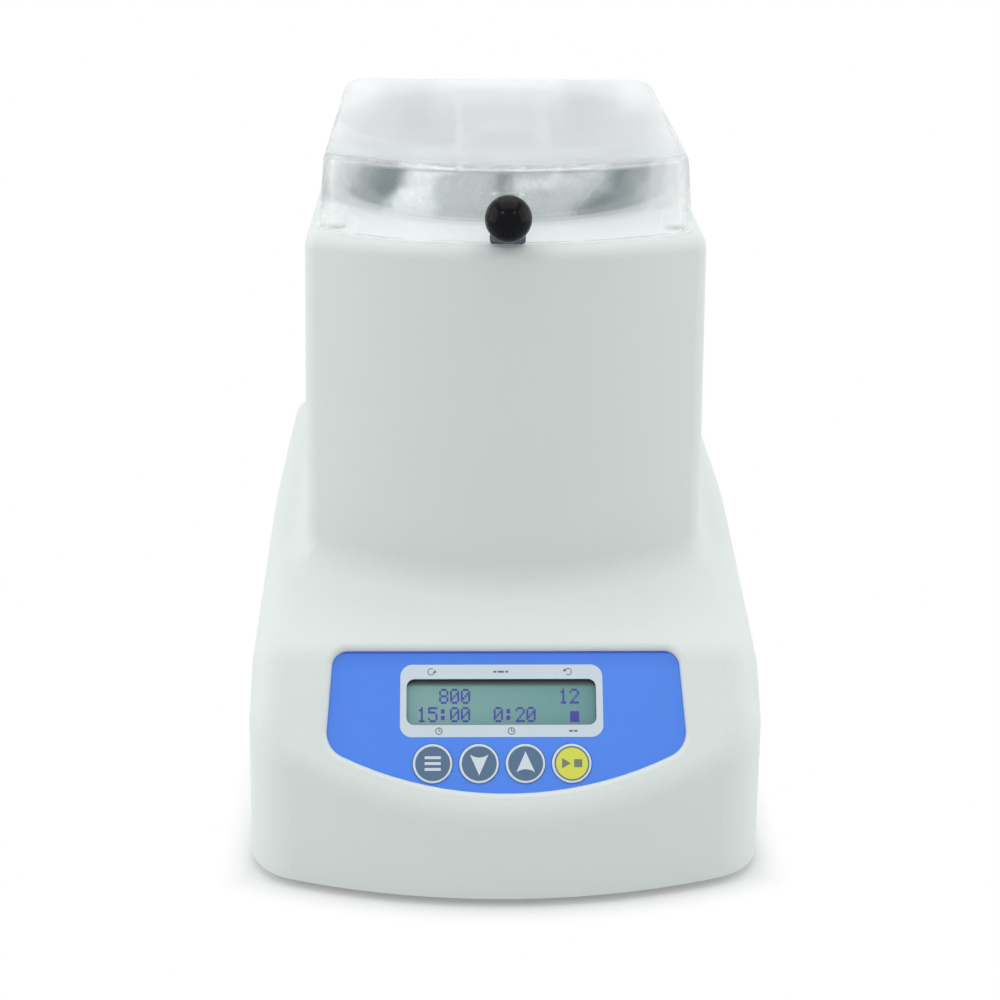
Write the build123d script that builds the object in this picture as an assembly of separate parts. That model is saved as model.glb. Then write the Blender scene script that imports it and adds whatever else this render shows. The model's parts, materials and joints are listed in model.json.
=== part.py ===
from build123d import *
import os
from math import cos, hypot, radians, sin, sqrt, tan

os.makedirs("parts", exist_ok=True)

# A bench-top centrifuge for two PCR plates. A moulded housing carries a steel bowl, the motor and
# the sloping control panel. A frosted lid on two hinges closes the bowl. The rotor takes one plate
# upright in each of its two holders.
#
# Everything is built with x = y = 0 on the rotor's axis and z = 0 on the bench, in millimetres.
# The front faces -Y. At export the parts are moved so that the origin is the middle of the footprint.

# ---------------------------------------------------------------- fits and clearances
SLIP = 0.05              # radial play of a screw, pin or shaft in its hole
ASSEMBLY_GAP = 0.2       # play around a part that drops into an opening
KEY_GAP = 0.2            # ring gap around each key
MOVING_GAP = 0.3         # between the knuckles of a hinge

# ---------------------------------------------------------------- housing
FOOT_HEIGHT = 3.2
WALL = 3.0
TOP_WALL = 4.0
BASE_HALF_WIDTH = 85.6
BASE_FRONT = 160.1       # bowed front wall, measured from the rotor's axis
BASE_BACK = 74.2
BASE_BOW_R = 218.0
BASE_CORNER_R = 22.0
BASE_DRAFT = 1.25
REAR_CORNER_R = 10.0
BASE_EDGE_R = 12.0
CONSOLE_ANGLE = 49.0
CONSOLE_LIP_Z = 32.5     # where the console's slope meets the front wall
KNEE_Z = 76.4            # where the slope meets the shoulder
KNEE_R = 16.0
SHOULDER_Z = 97.5
SHOULDER_Y = -24.0
SHOULDER_R = 130.0

TOWER_HALF = 66.0
TOWER_FRONT = 91.5
TOWER_TOP = 202.0
TOWER_DRAFT = 1.5
TOWER_BOW_R = 130.0
TOWER_CORNER_R = 10.0
TOWER_EDGE_R = 5.0
TOWER_ROOT = 50.0        # the tower's form starts inside the base
TRIM = 0.05              # dressed off the back, where the tower and the base are flush
JUNCTION_R = 13.0

# ---------------------------------------------------------------- lid
LID_GAP = 0.3            # the buffers hold the lid this far above the tower
LID_HEIGHT = 25.2
LID_HALF = 61.7
LID_FRONT = 87.0
LID_BACK = 69.6
LID_BOW_R = 125.0
LID_CORNER_R = 10.0
LID_EDGE_R = 3.5
LID_DRAFT = 5.2
LID_WALL = 1.4
LID_TOP_WALL = 2.3
LID_BOSS_R = 4.5
LID_BOSS_HEIGHT = 6.0
HINGE_PAD = 1.2          # extra thickness inside the lid's rear wall
BUFFER_INSET = 9.7       # the buffers and the magnet stand this far inside the tower's sides
BUFFER_FRONT = 25.5
BUFFER_REAR = 12.2
BUFFER_R = 1.8
BUFFER_SUNK = 1.0
MAGNET_Y = 45.0
MAGNET_R = 2.0
MAGNET_HEIGHT = 3.0

KNOB_R = 7.5
KNOB_PROUD = 8.0         # the knob's centre, out from the lid's front
KNOB_RISE = 9.9          # and up from the lid's lower edge
KNOB_PAD_WIDTH = 11.5
KNOB_PAD_HEIGHT = 15.8
KNOB_PAD_RISE = 8.2
KNOB_PAD = 2.5
STUD_R = 2.0
STUD_HEAD_R = 4.0
STUD_HEAD = 4.5          # from the lid's front to the inner end of the head

# ---------------------------------------------------------------- hinges
HINGE_X = 36.0
HINGE_RISE = 5.0         # the axis, up from the tower's top
HINGE_WIDTH = 24.0
KNUCKLE_R = 3.0
PIN_R = 1.5
PIN_HEAD_R = 2.2
PIN_HEAD = 0.8
LEAF = 1.3
LID_LEAF_RISE = 2.7
LID_LEAF_HEIGHT = 16.0
BRACKET_DROP = 18.0      # the fixed leaves reach this far below the tower's top
HINGE_SCREW_R = 1.2
HINGE_SCREW_HEAD_R = 2.3
HINGE_SCREW_HEAD = 1.1
HINGE_SCREW_OFFSET = 7.0

# ---------------------------------------------------------------- bowl
BOWL_R = 58.2
BOWL_WALL = 1.0
BOWL_FLOOR = 1.2
BOWL_BOTTOM = 72.0
BOWL_RIM_CLEAR = 5.7     # between the rim and the inside of the lid's top
BOWL_BEAD_R = 0.7
BOWL_CORNER_R = 9.0
BOWL_HOLE_R = 59.5       # opening in the top of the tower
COLLAR_FLANGE_R = 59.95
COLLAR_FLANGE = 0.9
BOWL_SCREW_RING_R = 42.0
SEAL_R = 8.0
SEAL_FLANGE_R = 11.0
SEAL_TOP = 74.6

# ---------------------------------------------------------------- rotor
SHAFT_R = 4.0
SHAFT_END = 5.0          # the shaft's end, above the hub
HUB_R = 9.0
HUB_BOTTOM = 76.0
HUB_TOP = 200.0
HUB_PAD_BOTTOM = 84.0
HUB_PAD_TOP = 196.0
HUB_PAD_HALF = 16.0
HUB_PAD = 3.0
HUB_WEB = 5.0
NUT_R = 10.0
NUT_HEIGHT = 7.0
NUT_GROOVES = 12
SLOT_INNER = 16.5        # a plate stands between these two distances from the axis
SLOT_OUTER = 34.5
SLOT_HALF = 43.0
SLOT_FLOOR = 81.0
HOLDER_RIM_DROP = 6.5    # the holders end this far below the bowl's rim
HOLDER_INNER_WALL = 2.5
HOLDER_WALL = 1.5
HOLDER_CORNER_R = 3.0
HOLDER_FLOOR = 2.0
WINDOW_WIDTH = 19.0
WINDOW_HEIGHT = 30.0
WINDOW_PITCH_Y = 25.0
WINDOW_PITCH_Z = 39.0
HOLDER_SCREW_Y = 11.0
HOLDER_SCREW_Z = (95.0, 185.0)

# ---------------------------------------------------------------- motor and its carrier
MOTOR_PLATE = 4.0
MOTOR_PLATE_HALF_X = 57.0
MOTOR_PLATE_HALF_Y = 45.0
MOTOR_R = 26.0
MOTOR_WALL = 2.0
MOTOR_BOTTOM = 28.0
MOTOR_CAP = 5.0
MOTOR_CAP_HOLE_R = 6.0
MOTOR_SCREW_RING_R = 21.0
BEARING_R = 8.0
BEARING_WIDTH = 5.0
BEARING_SEAT = 2.0
ARMATURE_R = 20.0
ARMATURE_BOTTOM = 40.0
ARMATURE_TOP = 57.0
ARMATURE_SLOTS = 12
PILLAR_X = 50.0
PILLAR_Y = 38.0
PILLAR_R = 5.0
DAMPER_R = 7.0
DAMPER_HEIGHT = 8.0

# ---------------------------------------------------------------- screws
SCREW_R = 1.5
SCREW_HEAD_R = 3.0
SCREW_HEAD = 1.6
SCREW_LENGTH = 12.0

# ---------------------------------------------------------------- bottom plate and feet
PLATE = 2.5
FOOT_R = 7.0
FOOT_STEM_R = 2.5
FOOT_BULB_R = 3.3
FOOT_BULB = 1.6
FOOT_EDGE = 0.8
FOOT_INSET = 18.6        # feet, in from the sides, the front and the back
FOOT_FRONT = 50.1
FOOT_REAR = 24.2
CASE_INSET = (17.6, 11.6)
CASE_FRONT = 32.1
CASE_REAR = 12.2
CASE_BOSS_R = 4.5
CASE_BOSS_TOP = 26.0
CASE_RIB = 3.0
VENT_WIDTH = 3.0
VENT_LENGTH = 26.0
VENT_PITCH = 8.0
VENT_COUNT = 7

# ---------------------------------------------------------------- control panel
PANEL_UP = 33.0          # panel's datum, up the slope from the console's lip
PANEL_SUNK = 2.3         # the overlay's face lies this far below the console
PANEL_TOP = 23.3
PANEL_TOP_HALF = 56.8
PANEL_LOW_HALF = 58.7
PANEL_BOTTOM = 23.7
PANEL_BOW_R = 123.0
PANEL_TOP_R = 5.0
PANEL_LOW_R = 9.0
PANEL_RIM_R = 2.0        # rounding of the recess's edge
OVERLAY = 0.6
BACKING = 2.5            # thickness of the console behind the overlay
BACKING_MARGIN = 2.5

FRAME_CENTRE = (-1.55, 6.85)
FRAME_SIZE = (66.3, 24.1)
FRAME_R = 4.0
WINDOW_CENTRE = (-1.6, 6.45)
WINDOW_SIZE = (62.0, 15.3)
WINDOW_R = 2.6
WINDOW_SKIRT = 1.1
GLASS_SUNK = 2.0
DISPLAY_BOARD_SIZE = (80.0, 26.0)
DISPLAY_BOARD_UP = 7.4
BOARD = 1.6

KEY_UP = -13.9
KEY_PITCH = 15.0
FIRST_KEY_X = -24.0
KEY_R = 6.425
KEY_PROUD = 0.6
KEY_FLANGE_R = 7.1
KEY_FLANGE = 1.0
KEY_STEM_R = 1.8
KEY_STEM = 1.6
KEY_TRAVEL = 0.5
SWITCH_SIZE = 6.0
SWITCH_HEIGHT = 3.0
SWITCH_PLUNGER_R = 1.6
SWITCH_PLUNGER = 0.7
KEY_BOARD_SIZE = (74.0, 15.0)
KEY_BOARD_X = -1.5
KEY_PILLAR_R = 2.0
KEY_PILLAR_X = 33.5
KEY_PILLAR_UP = 4.5
KEY_NAMES = ("key_mode", "key_down", "key_up", "key_run")

# ---------------------------------------------------------------- electronics and rear wall
MAIN_BOARD_Z = 14.0
MAIN_BOARD_HALF = 56.0
MAIN_BOARD_FRONT = -136.0
MAIN_BOARD_BACK = -68.0
BOARD_PILLAR_R = 3.0
BOARD_PILLAR_INSET = 6.0
CAPACITOR_R = 6.0
CAPACITOR_HEIGHT = 16.0
CAPACITOR_XS = (-32.0, -16.0)
HEAT_SINK_SIZE = (30.0, 18.0, 15.0)
HEAT_SINK_FLOOR = 3.0
HEAT_SINK_FIN = 1.5
HEAT_SINK_FINS = 6
CONNECTOR_SIZE = (24.0, 8.0, 9.0)
PART_INSET = 14.0        # the tall parts stand this far in from the board's rear edge
INLET_X = -48.0
REAR_SOCKET_Z = 26.0
INLET_R = 5.5
INLET_FLANGE_R = 8.0
INLET_FLANGE = 2.0
INLET_DEPTH = 16.0
INLET_NUT_R = 7.5
INLET_NUT = 3.0
INLET_BORE_R = 3.2
INLET_PIN_R = 1.0
SWITCH_X = 46.0
ROCKER_WIDTH = 13.0
ROCKER_HEIGHT = 19.0
ROCKER_SWING = 14.0
ROCKER_PIVOT_R = 1.5
ROCKER_PIVOT_DEPTH = 6.0
BEZEL = 2.5
BEZEL_PROUD = 1.6
SWITCH_BODY_WALL = 1.2
SWITCH_BODY_DEPTH = 17.0
SENSOR_SIZE = (8.0, 6.0, 10.0)

# ---------------------------------------------------------------- worked-out places
CONSOLE_SIN = sin(radians(CONSOLE_ANGLE))
CONSOLE_COS = cos(radians(CONSOLE_ANGLE))
LID_BOTTOM = TOWER_TOP + LID_GAP
LID_TOP = LID_BOTTOM + LID_HEIGHT
LID_LEAF_BOTTOM = LID_BOTTOM + LID_LEAF_RISE
LID_LEAF_TOP = LID_LEAF_BOTTOM + LID_LEAF_HEIGHT
BRACKET_BOTTOM = TOWER_TOP - BRACKET_DROP
HINGE_Y = BASE_BACK + KNUCKLE_R
HINGE_Z = TOWER_TOP + HINGE_RISE
KNOB_Y = -LID_FRONT - KNOB_PROUD
KNOB_Z = LID_BOTTOM + KNOB_RISE
KNOB_PAD_Z = LID_BOTTOM + KNOB_PAD_RISE
KNOB_PAD_FRONT = -LID_FRONT - KNOB_PAD
STUD_HEAD_END = -LID_FRONT + STUD_HEAD
BUFFER_X = TOWER_HALF - BUFFER_INSET
BUFFER_SPOTS = [(BUFFER_X, -TOWER_FRONT + BUFFER_FRONT), (BUFFER_X, BASE_BACK - BUFFER_REAR)]
MAGNET_SPOT = (BUFFER_X, MAGNET_Y)
FOOT_X = BASE_HALF_WIDTH - FOOT_INSET
FOOT_SPOTS = [(FOOT_X, -BASE_FRONT + FOOT_FRONT), (FOOT_X, BASE_BACK - FOOT_REAR)]
CASE_SPOTS = [
    (BASE_HALF_WIDTH - CASE_INSET[0], -BASE_FRONT + CASE_FRONT),
    (BASE_HALF_WIDTH - CASE_INSET[1], BASE_BACK - CASE_REAR),
]
BOWL_RIM_Z = LID_TOP - LID_TOP_WALL - BOWL_RIM_CLEAR
HOLDER_TOP = BOWL_RIM_Z - HOLDER_RIM_DROP
SHAFT_TOP = HUB_TOP + SHAFT_END
PLATE_TOP = FOOT_HEIGHT + PLATE
MOTOR_PLATE_BOTTOM = BOWL_BOTTOM - MOTOR_PLATE
PILLAR_TOP = MOTOR_PLATE_BOTTOM - DAMPER_HEIGHT
BACKING_REAR = PANEL_SUNK + OVERLAY + BACKING
KEY_TOP = PANEL_SUNK - KEY_PROUD
KEY_STEM_END = BACKING_REAR + KEY_FLANGE + KEY_STEM
KEY_BOARD_FRONT = KEY_STEM_END + KEY_TRAVEL + SWITCH_PLUNGER + SWITCH_HEIGHT + 0.1
HUB_PAD_FACE = SLOT_INNER - HOLDER_INNER_WALL
REAR_INNER = BASE_BACK - WALL
HINGE_CENTRES = (-HINGE_X, HINGE_X)
KEY_XS = [FIRST_KEY_X + i * KEY_PITCH for i in range(4)]
ORIGIN_Y = (BASE_FRONT - HINGE_Y - KNUCKLE_R) / 2

PANEL_PLANE = Plane(
    origin=(0, -BASE_FRONT + PANEL_UP * CONSOLE_COS, CONSOLE_LIP_Z + PANEL_UP * CONSOLE_SIN),
    x_dir=(1, 0, 0),
    z_dir=(0, -CONSOLE_SIN, CONSOLE_COS),
)
UP = (Align.CENTER, Align.CENTER, Align.MIN)


# ---------------------------------------------------------------- small helpers
def post(radius, z0, z1, x=0.0, y=0.0):
    """A round post standing upright between two heights."""
    return Pos(x, y, z0) * Cylinder(radius, z1 - z0, align=UP)


def block(x0, x1, y0, y1, z0, z1):
    """A box given by its limits."""
    return Pos((x0 + x1) / 2, (y0 + y1) / 2, (z0 + z1) / 2) * Box(x1 - x0, y1 - y0, z1 - z0)


def rod_y(radius, y0, y1, x, z):
    """A round rod running front to back."""
    return Pos(x, (y0 + y1) / 2, z) * Rot(90, 0, 0) * Cylinder(radius, abs(y1 - y0))


def rod_x(radius, x0, x1, y, z):
    """A round rod running side to side."""
    return Pos((x0 + x1) / 2, y, z) * Rot(0, 90, 0) * Cylinder(radius, abs(x1 - x0))


def both_sides(spots):
    """Each spot and its mirror image across the middle."""
    return [(side * x, y) for x, y in spots for side in (-1, 1)]


def all_of(pieces):
    """The pieces as one group of separate solids."""
    return Compound(children=[s for p in pieces for s in p.solids()])


def screw(head_z, tip_z, x, y, radius=SCREW_R, head_r=SCREW_HEAD_R, head=SCREW_HEAD):
    """An upright screw whose head sits against head_z; the tip may point up or down."""
    down = tip_z < head_z
    shank = post(radius, min(head_z, tip_z), max(head_z, tip_z), x, y)
    head_from = head_z if down else head_z - head
    cap = post(head_r, head_from, head_from + head, x, y)
    rim = cap.edges().filter_by(GeomType.CIRCLE).sort_by(Axis.Z)[-1 if down else 0]
    return shank + fillet(rim, head * 0.45)


# ---------------------------------------------------------------- outer forms
def bowed_plan(half, front, back, bow_r, corner_r):
    """Plan with a bowed front, straight sides and a straight back."""
    corner_y = bow_r - front - sqrt(bow_r**2 - half**2)
    with BuildSketch() as plan:
        with BuildLine():
            ThreePointArc((-half, corner_y), (0, -front), (half, corner_y))
            Polyline((half, corner_y), (half, back), (-half, back), (-half, corner_y))
        make_face()
        fillet(plan.vertices().group_by(Axis.Y)[0], corner_r)
    return plan.sketch


def round_rear_corners(body, back, radius):
    """Round the two upright edges at the back plane."""
    upright = [e for e in body.edges() if e.bounding_box().size.Z > 8]
    return fillet([e for e in upright if e.bounding_box().min.Y > back - 0.1], radius)


def base_form(inset, floor):
    """The base's form, drawn in by inset: bowed plan cut to the console's side profile."""
    grow = inset + (floor - FOOT_HEIGHT) * tan(radians(BASE_DRAFT))
    back = BASE_BACK - inset
    plan = bowed_plan(
        BASE_HALF_WIDTH - grow, BASE_FRONT - grow, BASE_BACK + 30, BASE_BOW_R - grow,
        BASE_CORNER_R - inset,
    )
    drafted = extrude(Pos(0, 0, floor) * plan, SHOULDER_Z + 20, taper=BASE_DRAFT)

    slope = CONSOLE_SIN / CONSOLE_COS
    knee_y = -BASE_FRONT + (KNEE_Z - CONSOLE_LIP_Z) / slope
    rise = (SHOULDER_Z - KNEE_Z) / (SHOULDER_Y - knee_y)
    ky = knee_y + inset * (1 / CONSOLE_COS - sqrt(1 + rise**2)) / (slope - rise)
    kz = CONSOLE_LIP_Z + (ky + BASE_FRONT) * slope - inset / CONSOLE_COS
    start = -BASE_FRONT - 20
    start_z = max(kz - (ky - start) * slope, floor - 0.5)
    shoulder = (SHOULDER_Y + inset * (sqrt(1 + rise**2) - 1) / rise, SHOULDER_Z - inset)
    with BuildSketch(Plane.YZ) as side:
        with BuildLine():
            Polyline(
                (start, floor - 1), (start, start_z), (ky, kz), shoulder,
                (back, SHOULDER_Z - inset), (back, floor - 1), close=True,
            )
        make_face()
        for (py, pz), radius in (((ky, kz), KNEE_R - inset), (shoulder, SHOULDER_R)):
            fillet([v for v in side.vertices() if hypot(v.X - py, v.Y - pz) < 0.01], radius)
    body = drafted & extrude(side.sketch, BASE_HALF_WIDTH + 20, both=True)
    body = round_rear_corners(body, back, REAR_CORNER_R - inset)
    boxes = [(e, e.bounding_box()) for e in body.edges()]
    return fillet([e for e, b in boxes if b.min.Z > floor + 1 and b.size.Y > 0.5], BASE_EDGE_R - inset)


def bowed_block(half, front, back, bow_r, corner_r, draft, at_z, inset, bottom, top):
    """A drafted block with a bowed front; its plan's sizes hold at the height at_z."""
    grow = inset - (at_z - bottom) * tan(radians(draft))
    plan = bowed_plan(half - grow, front - grow, back + 30, bow_r - grow, corner_r - inset)
    body = extrude(Pos(0, 0, bottom) * plan, top - bottom, taper=draft)
    body -= block(-200, 200, back - inset, 300, bottom - 50, top + 50)
    return round_rear_corners(body, back - inset, corner_r - inset)


def tower_form(inset, bottom, top, edge_r):
    body = bowed_block(
        TOWER_HALF, TOWER_FRONT, BASE_BACK, TOWER_BOW_R, TOWER_CORNER_R, TOWER_DRAFT, TOWER_TOP,
        inset, bottom, top,
    )
    return fillet(body.edges().group_by(Axis.Z)[-1], edge_r)


def lid_form(inset, bottom, top, edge_r):
    body = bowed_block(
        LID_HALF, LID_FRONT, LID_BACK, LID_BOW_R, LID_CORNER_R, LID_DRAFT, LID_BOTTOM,
        inset, bottom, top,
    )
    return fillet(body.edges().group_by(Axis.Z)[-1], edge_r)


# ---------------------------------------------------------------- control panel geometry
def panel_outline():
    """The overlay's outline: straight top, sides that widen downwards and a bowed bottom."""
    low = PANEL_BOW_R - PANEL_BOTTOM - sqrt(PANEL_BOW_R**2 - PANEL_LOW_HALF**2)
    with BuildSketch() as outline:
        with BuildLine():
            Polyline(
                (-PANEL_LOW_HALF, low), (-PANEL_TOP_HALF, PANEL_TOP),
                (PANEL_TOP_HALF, PANEL_TOP), (PANEL_LOW_HALF, low),
            )
            ThreePointArc((PANEL_LOW_HALF, low), (0, -PANEL_BOTTOM), (-PANEL_LOW_HALF, low))
        make_face()
        fillet(outline.vertices().group_by(Axis.Y)[-1], PANEL_TOP_R)
        fillet(outline.vertices().group_by(Axis.Y)[0], PANEL_LOW_R)
    return outline.sketch


def in_panel(sketch, front, rear):
    """A slab of the sketch between two depths below the console's face."""
    return extrude(PANEL_PLANE.offset(-rear) * sketch, rear - front)


def rounded(centre, size, radius, grow=0.0):
    return Pos(*centre) * RectangleRounded(size[0] + 2 * grow, size[1] + 2 * grow, radius + grow)


def at_keys(sketch):
    return [Pos(x, KEY_UP) * sketch for x in KEY_XS]


def display_opening():
    """The window's skirt and the glass pass through this opening."""
    return rounded(WINDOW_CENTRE, WINDOW_SIZE, WINDOW_R, WINDOW_SKIRT + ASSEMBLY_GAP)


# ---------------------------------------------------------------- housing and its fixings
def case_bosses():
    """Screw bosses for the bottom plate, each tied to the side wall by a rib."""
    pieces = []
    for x, y in both_sides(CASE_SPOTS):
        pieces.append(post(CASE_BOSS_R, PLATE_TOP, CASE_BOSS_TOP, x, y))
        wall_x = BASE_HALF_WIDTH if x > 0 else -BASE_HALF_WIDTH
        rib = (y - CASE_RIB / 2, y + CASE_RIB / 2, PLATE_TOP, CASE_BOSS_TOP)
        pieces.append(block(min(x, wall_x), max(x, wall_x), *rib))
    inside = base_form(WALL / 2, FOOT_HEIGHT)
    depth = FOOT_HEIGHT + SCREW_LENGTH + 1
    holes = [post(SCREW_R + SLIP, 0, depth, *spot) for spot in both_sides(CASE_SPOTS)]
    return pieces, inside, holes


def housing():
    base = base_form(0, FOOT_HEIGHT)
    tower = tower_form(0, TOWER_ROOT, TOWER_TOP, TOWER_EDGE_R)
    body = base + tower
    body = fillet(new_edges(base, tower, combined=body), JUNCTION_R)
    body -= block(-200, 200, BASE_BACK - TRIM, 200, 0, 300)

    before = body.edges()
    body -= in_panel(panel_outline(), -20, PANEL_SUNK + OVERLAY)
    floor_z = PANEL_PLANE.offset(-PANEL_SUNK - OVERLAY)
    rim = [e for e in body.edges() - before if floor_z.to_local_coords(e.center()).Z > 0.5]
    rim = [e for e in rim if abs(floor_z.to_local_coords(e.start_point()).Z
                                 - floor_z.to_local_coords(e.end_point()).Z) < 1.5]
    body = fillet(rim, PANEL_RIM_R)

    cavity = base_form(WALL, FOOT_HEIGHT - 1)
    cavity += tower_form(WALL, TOWER_ROOT, TOWER_TOP - TOP_WALL, 2.0)
    backing = in_panel(offset(panel_outline(), BACKING_MARGIN), WALL / 3, BACKING_REAR)
    cavity -= backing
    body -= cavity
    bosses, inside, boss_holes = case_bosses()
    for boss in bosses:
        body += boss & inside

    body -= post(BOWL_HOLE_R, TOWER_TOP - 20, TOWER_TOP + 10)
    cuts = [in_panel(display_opening(), 0, BACKING_REAR + 5)]
    cuts += [in_panel(s, 0, BACKING_REAR + 2) for s in at_keys(Circle(KEY_R + KEY_GAP))]
    cuts += boss_holes
    cuts += [post(BUFFER_R + SLIP, TOWER_TOP - BUFFER_SUNK, TOWER_TOP + 1, x, y)
             for x, y in both_sides(BUFFER_SPOTS)]
    cuts += [rod_y(HINGE_SCREW_R + SLIP, REAR_INNER - 5, BASE_BACK + 5, x, z)
             for x, z in bracket_screw_spots()]
    cuts.append(rod_y(INLET_R + SLIP, REAR_INNER - 5, BASE_BACK + 5, INLET_X, REAR_SOCKET_Z))
    half_w, half_h = switch_body_half()
    cuts.append(block(SWITCH_X - half_w - ASSEMBLY_GAP, SWITCH_X + half_w + ASSEMBLY_GAP,
                      REAR_INNER - 5, BASE_BACK + 5,
                      REAR_SOCKET_Z - half_h - ASSEMBLY_GAP, REAR_SOCKET_Z + half_h + ASSEMBLY_GAP))
    for cut in cuts:
        body -= cut
    return body


def bottom_plate():
    """Closes the housing from below, between its walls."""
    inset = WALL + ASSEMBLY_GAP
    back = BASE_BACK - inset
    plan = bowed_plan(
        BASE_HALF_WIDTH - inset, BASE_FRONT - inset, back, BASE_BOW_R - inset, BASE_CORNER_R - inset)
    plan = fillet(plan.vertices().group_by(Axis.Y)[-1], REAR_CORNER_R - inset)
    plate = extrude(Pos(0, 0, FOOT_HEIGHT) * plan, PLATE)
    for x, y in both_sides(FOOT_SPOTS):
        plate -= post(FOOT_STEM_R + SLIP, 0, 20, x, y)
    for x, y in both_sides(CASE_SPOTS) + both_sides(pillar_spots()):
        plate -= post(SCREW_R + SLIP, 0, 20, x, y)
    for i in range(VENT_COUNT):
        x = (i - (VENT_COUNT - 1) / 2) * VENT_PITCH
        slot = SlotOverall(VENT_LENGTH, VENT_WIDTH)
        plate -= extrude(Pos(x, 0, 0) * Rot(0, 0, 90) * slot, 20)
    return plate


def rubber_feet():
    feet = []
    for x, y in both_sides(FOOT_SPOTS):
        pad = post(FOOT_R, 0, FOOT_HEIGHT, x, y)
        pad = fillet(pad.edges().filter_by(GeomType.CIRCLE).sort_by(Axis.Z)[0], FOOT_EDGE)
        stem = post(FOOT_STEM_R, FOOT_HEIGHT, PLATE_TOP, x, y)
        bulb = post(FOOT_BULB_R, PLATE_TOP, PLATE_TOP + FOOT_BULB, x, y)
        feet.append(pad + stem + chamfer(bulb.edges().sort_by(Axis.Z)[-1], FOOT_EDGE))
    return all_of(feet)


def case_screws():
    tip = FOOT_HEIGHT + SCREW_LENGTH
    return all_of([screw(FOOT_HEIGHT, tip, x, y) for x, y in both_sides(CASE_SPOTS)])


def lid_buffers():
    """Small rubber studs that the closed lid rests on."""
    bottom = TOWER_TOP - BUFFER_SUNK
    return all_of([post(BUFFER_R, bottom, LID_BOTTOM, x, y) for x, y in both_sides(BUFFER_SPOTS)])


# ---------------------------------------------------------------- bowl
def bowl_screw_spots():
    spots = PolarLocations(BOWL_SCREW_RING_R, 4, start_angle=45)
    return [(p.position.X, p.position.Y) for p in spots]


def chamber_bowl():
    """Deep-drawn steel bowl with a beaded rim."""
    cup = post(BOWL_R, BOWL_BOTTOM, BOWL_RIM_Z - BOWL_BEAD_R)
    cup = fillet(cup.edges().filter_by(GeomType.CIRCLE).sort_by(Axis.Z)[0], BOWL_CORNER_R)
    hollow = post(BOWL_R - BOWL_WALL, BOWL_BOTTOM + BOWL_FLOOR, BOWL_RIM_Z + 5)
    low_edge = hollow.edges().filter_by(GeomType.CIRCLE).sort_by(Axis.Z)[0]
    hollow = fillet(low_edge, BOWL_CORNER_R - BOWL_WALL)
    bowl = cup - hollow
    bowl += Pos(0, 0, BOWL_RIM_Z - BOWL_BEAD_R) * Torus(BOWL_R - BOWL_BEAD_R, BOWL_BEAD_R)
    bowl -= post(SEAL_R + SLIP, BOWL_BOTTOM - 5, BOWL_BOTTOM + 5)
    for x, y in bowl_screw_spots():
        bowl -= post(SCREW_R + SLIP, BOWL_BOTTOM - 5, BOWL_BOTTOM + 5, x, y)
    return bowl


def bowl_collar():
    """Rubber ring that closes the gap between the bowl and the tower's opening."""
    ring = post(BOWL_HOLE_R - SLIP, TOWER_TOP - TOP_WALL, TOWER_TOP)
    ring += post(COLLAR_FLANGE_R, TOWER_TOP, TOWER_TOP + COLLAR_FLANGE)
    return ring - post(BOWL_R + SLIP, TOWER_TOP - 20, TOWER_TOP + 20)


def bowl_screws():
    top = BOWL_BOTTOM + BOWL_FLOOR
    return all_of([screw(top, MOTOR_PLATE_BOTTOM + 0.5, x, y) for x, y in bowl_screw_spots()])


def shaft_seal():
    """Rubber seal in the bowl's floor around the shaft."""
    seal = post(SEAL_R, BOWL_BOTTOM, SEAL_TOP)
    seal += post(SEAL_FLANGE_R, BOWL_BOTTOM + BOWL_FLOOR, SEAL_TOP)
    seal = chamfer(seal.edges().filter_by(GeomType.CIRCLE).sort_by(Axis.Z)[-1], 0.6)
    return seal - post(SHAFT_R + SLIP, 0, 100)


# ---------------------------------------------------------------- motor and its carrier
def pillar_spots():
    return [(PILLAR_X, -PILLAR_Y), (PILLAR_X, PILLAR_Y)]


def motor_screw_spots():
    spots = PolarLocations(MOTOR_SCREW_RING_R, 4)
    return [(p.position.X, p.position.Y) for p in spots]


def motor_plate():
    """Carries the bowl on top and the motor below."""
    plate = block(-MOTOR_PLATE_HALF_X, MOTOR_PLATE_HALF_X, -MOTOR_PLATE_HALF_Y, MOTOR_PLATE_HALF_Y,
                  MOTOR_PLATE_BOTTOM, BOWL_BOTTOM)
    plate = fillet(plate.edges().filter_by(Axis.Z), DAMPER_R)
    plate -= post(MOTOR_CAP_HOLE_R, 0, 100)
    for x, y in motor_screw_spots():
        plate -= post(SCREW_R + SLIP, 0, 100, x, y)
        plate -= post(SCREW_HEAD_R + ASSEMBLY_GAP, BOWL_BOTTOM - SCREW_HEAD - 0.2, 100, x, y)
    for x, y in both_sides(pillar_spots()) + bowl_screw_spots():
        plate -= post(SCREW_R + SLIP, 0, 100, x, y)
    return plate


def motor_pillars():
    pillars = []
    for x, y in both_sides(pillar_spots()):
        pillar = post(PILLAR_R, PLATE_TOP, PILLAR_TOP, x, y)
        pillar -= post(SCREW_R + SLIP, 0, PLATE_TOP + SCREW_LENGTH, x, y)
        pillars.append(pillar - post(SCREW_R + SLIP, PILLAR_TOP - SCREW_LENGTH, 100, x, y))
    return all_of(pillars)


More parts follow.
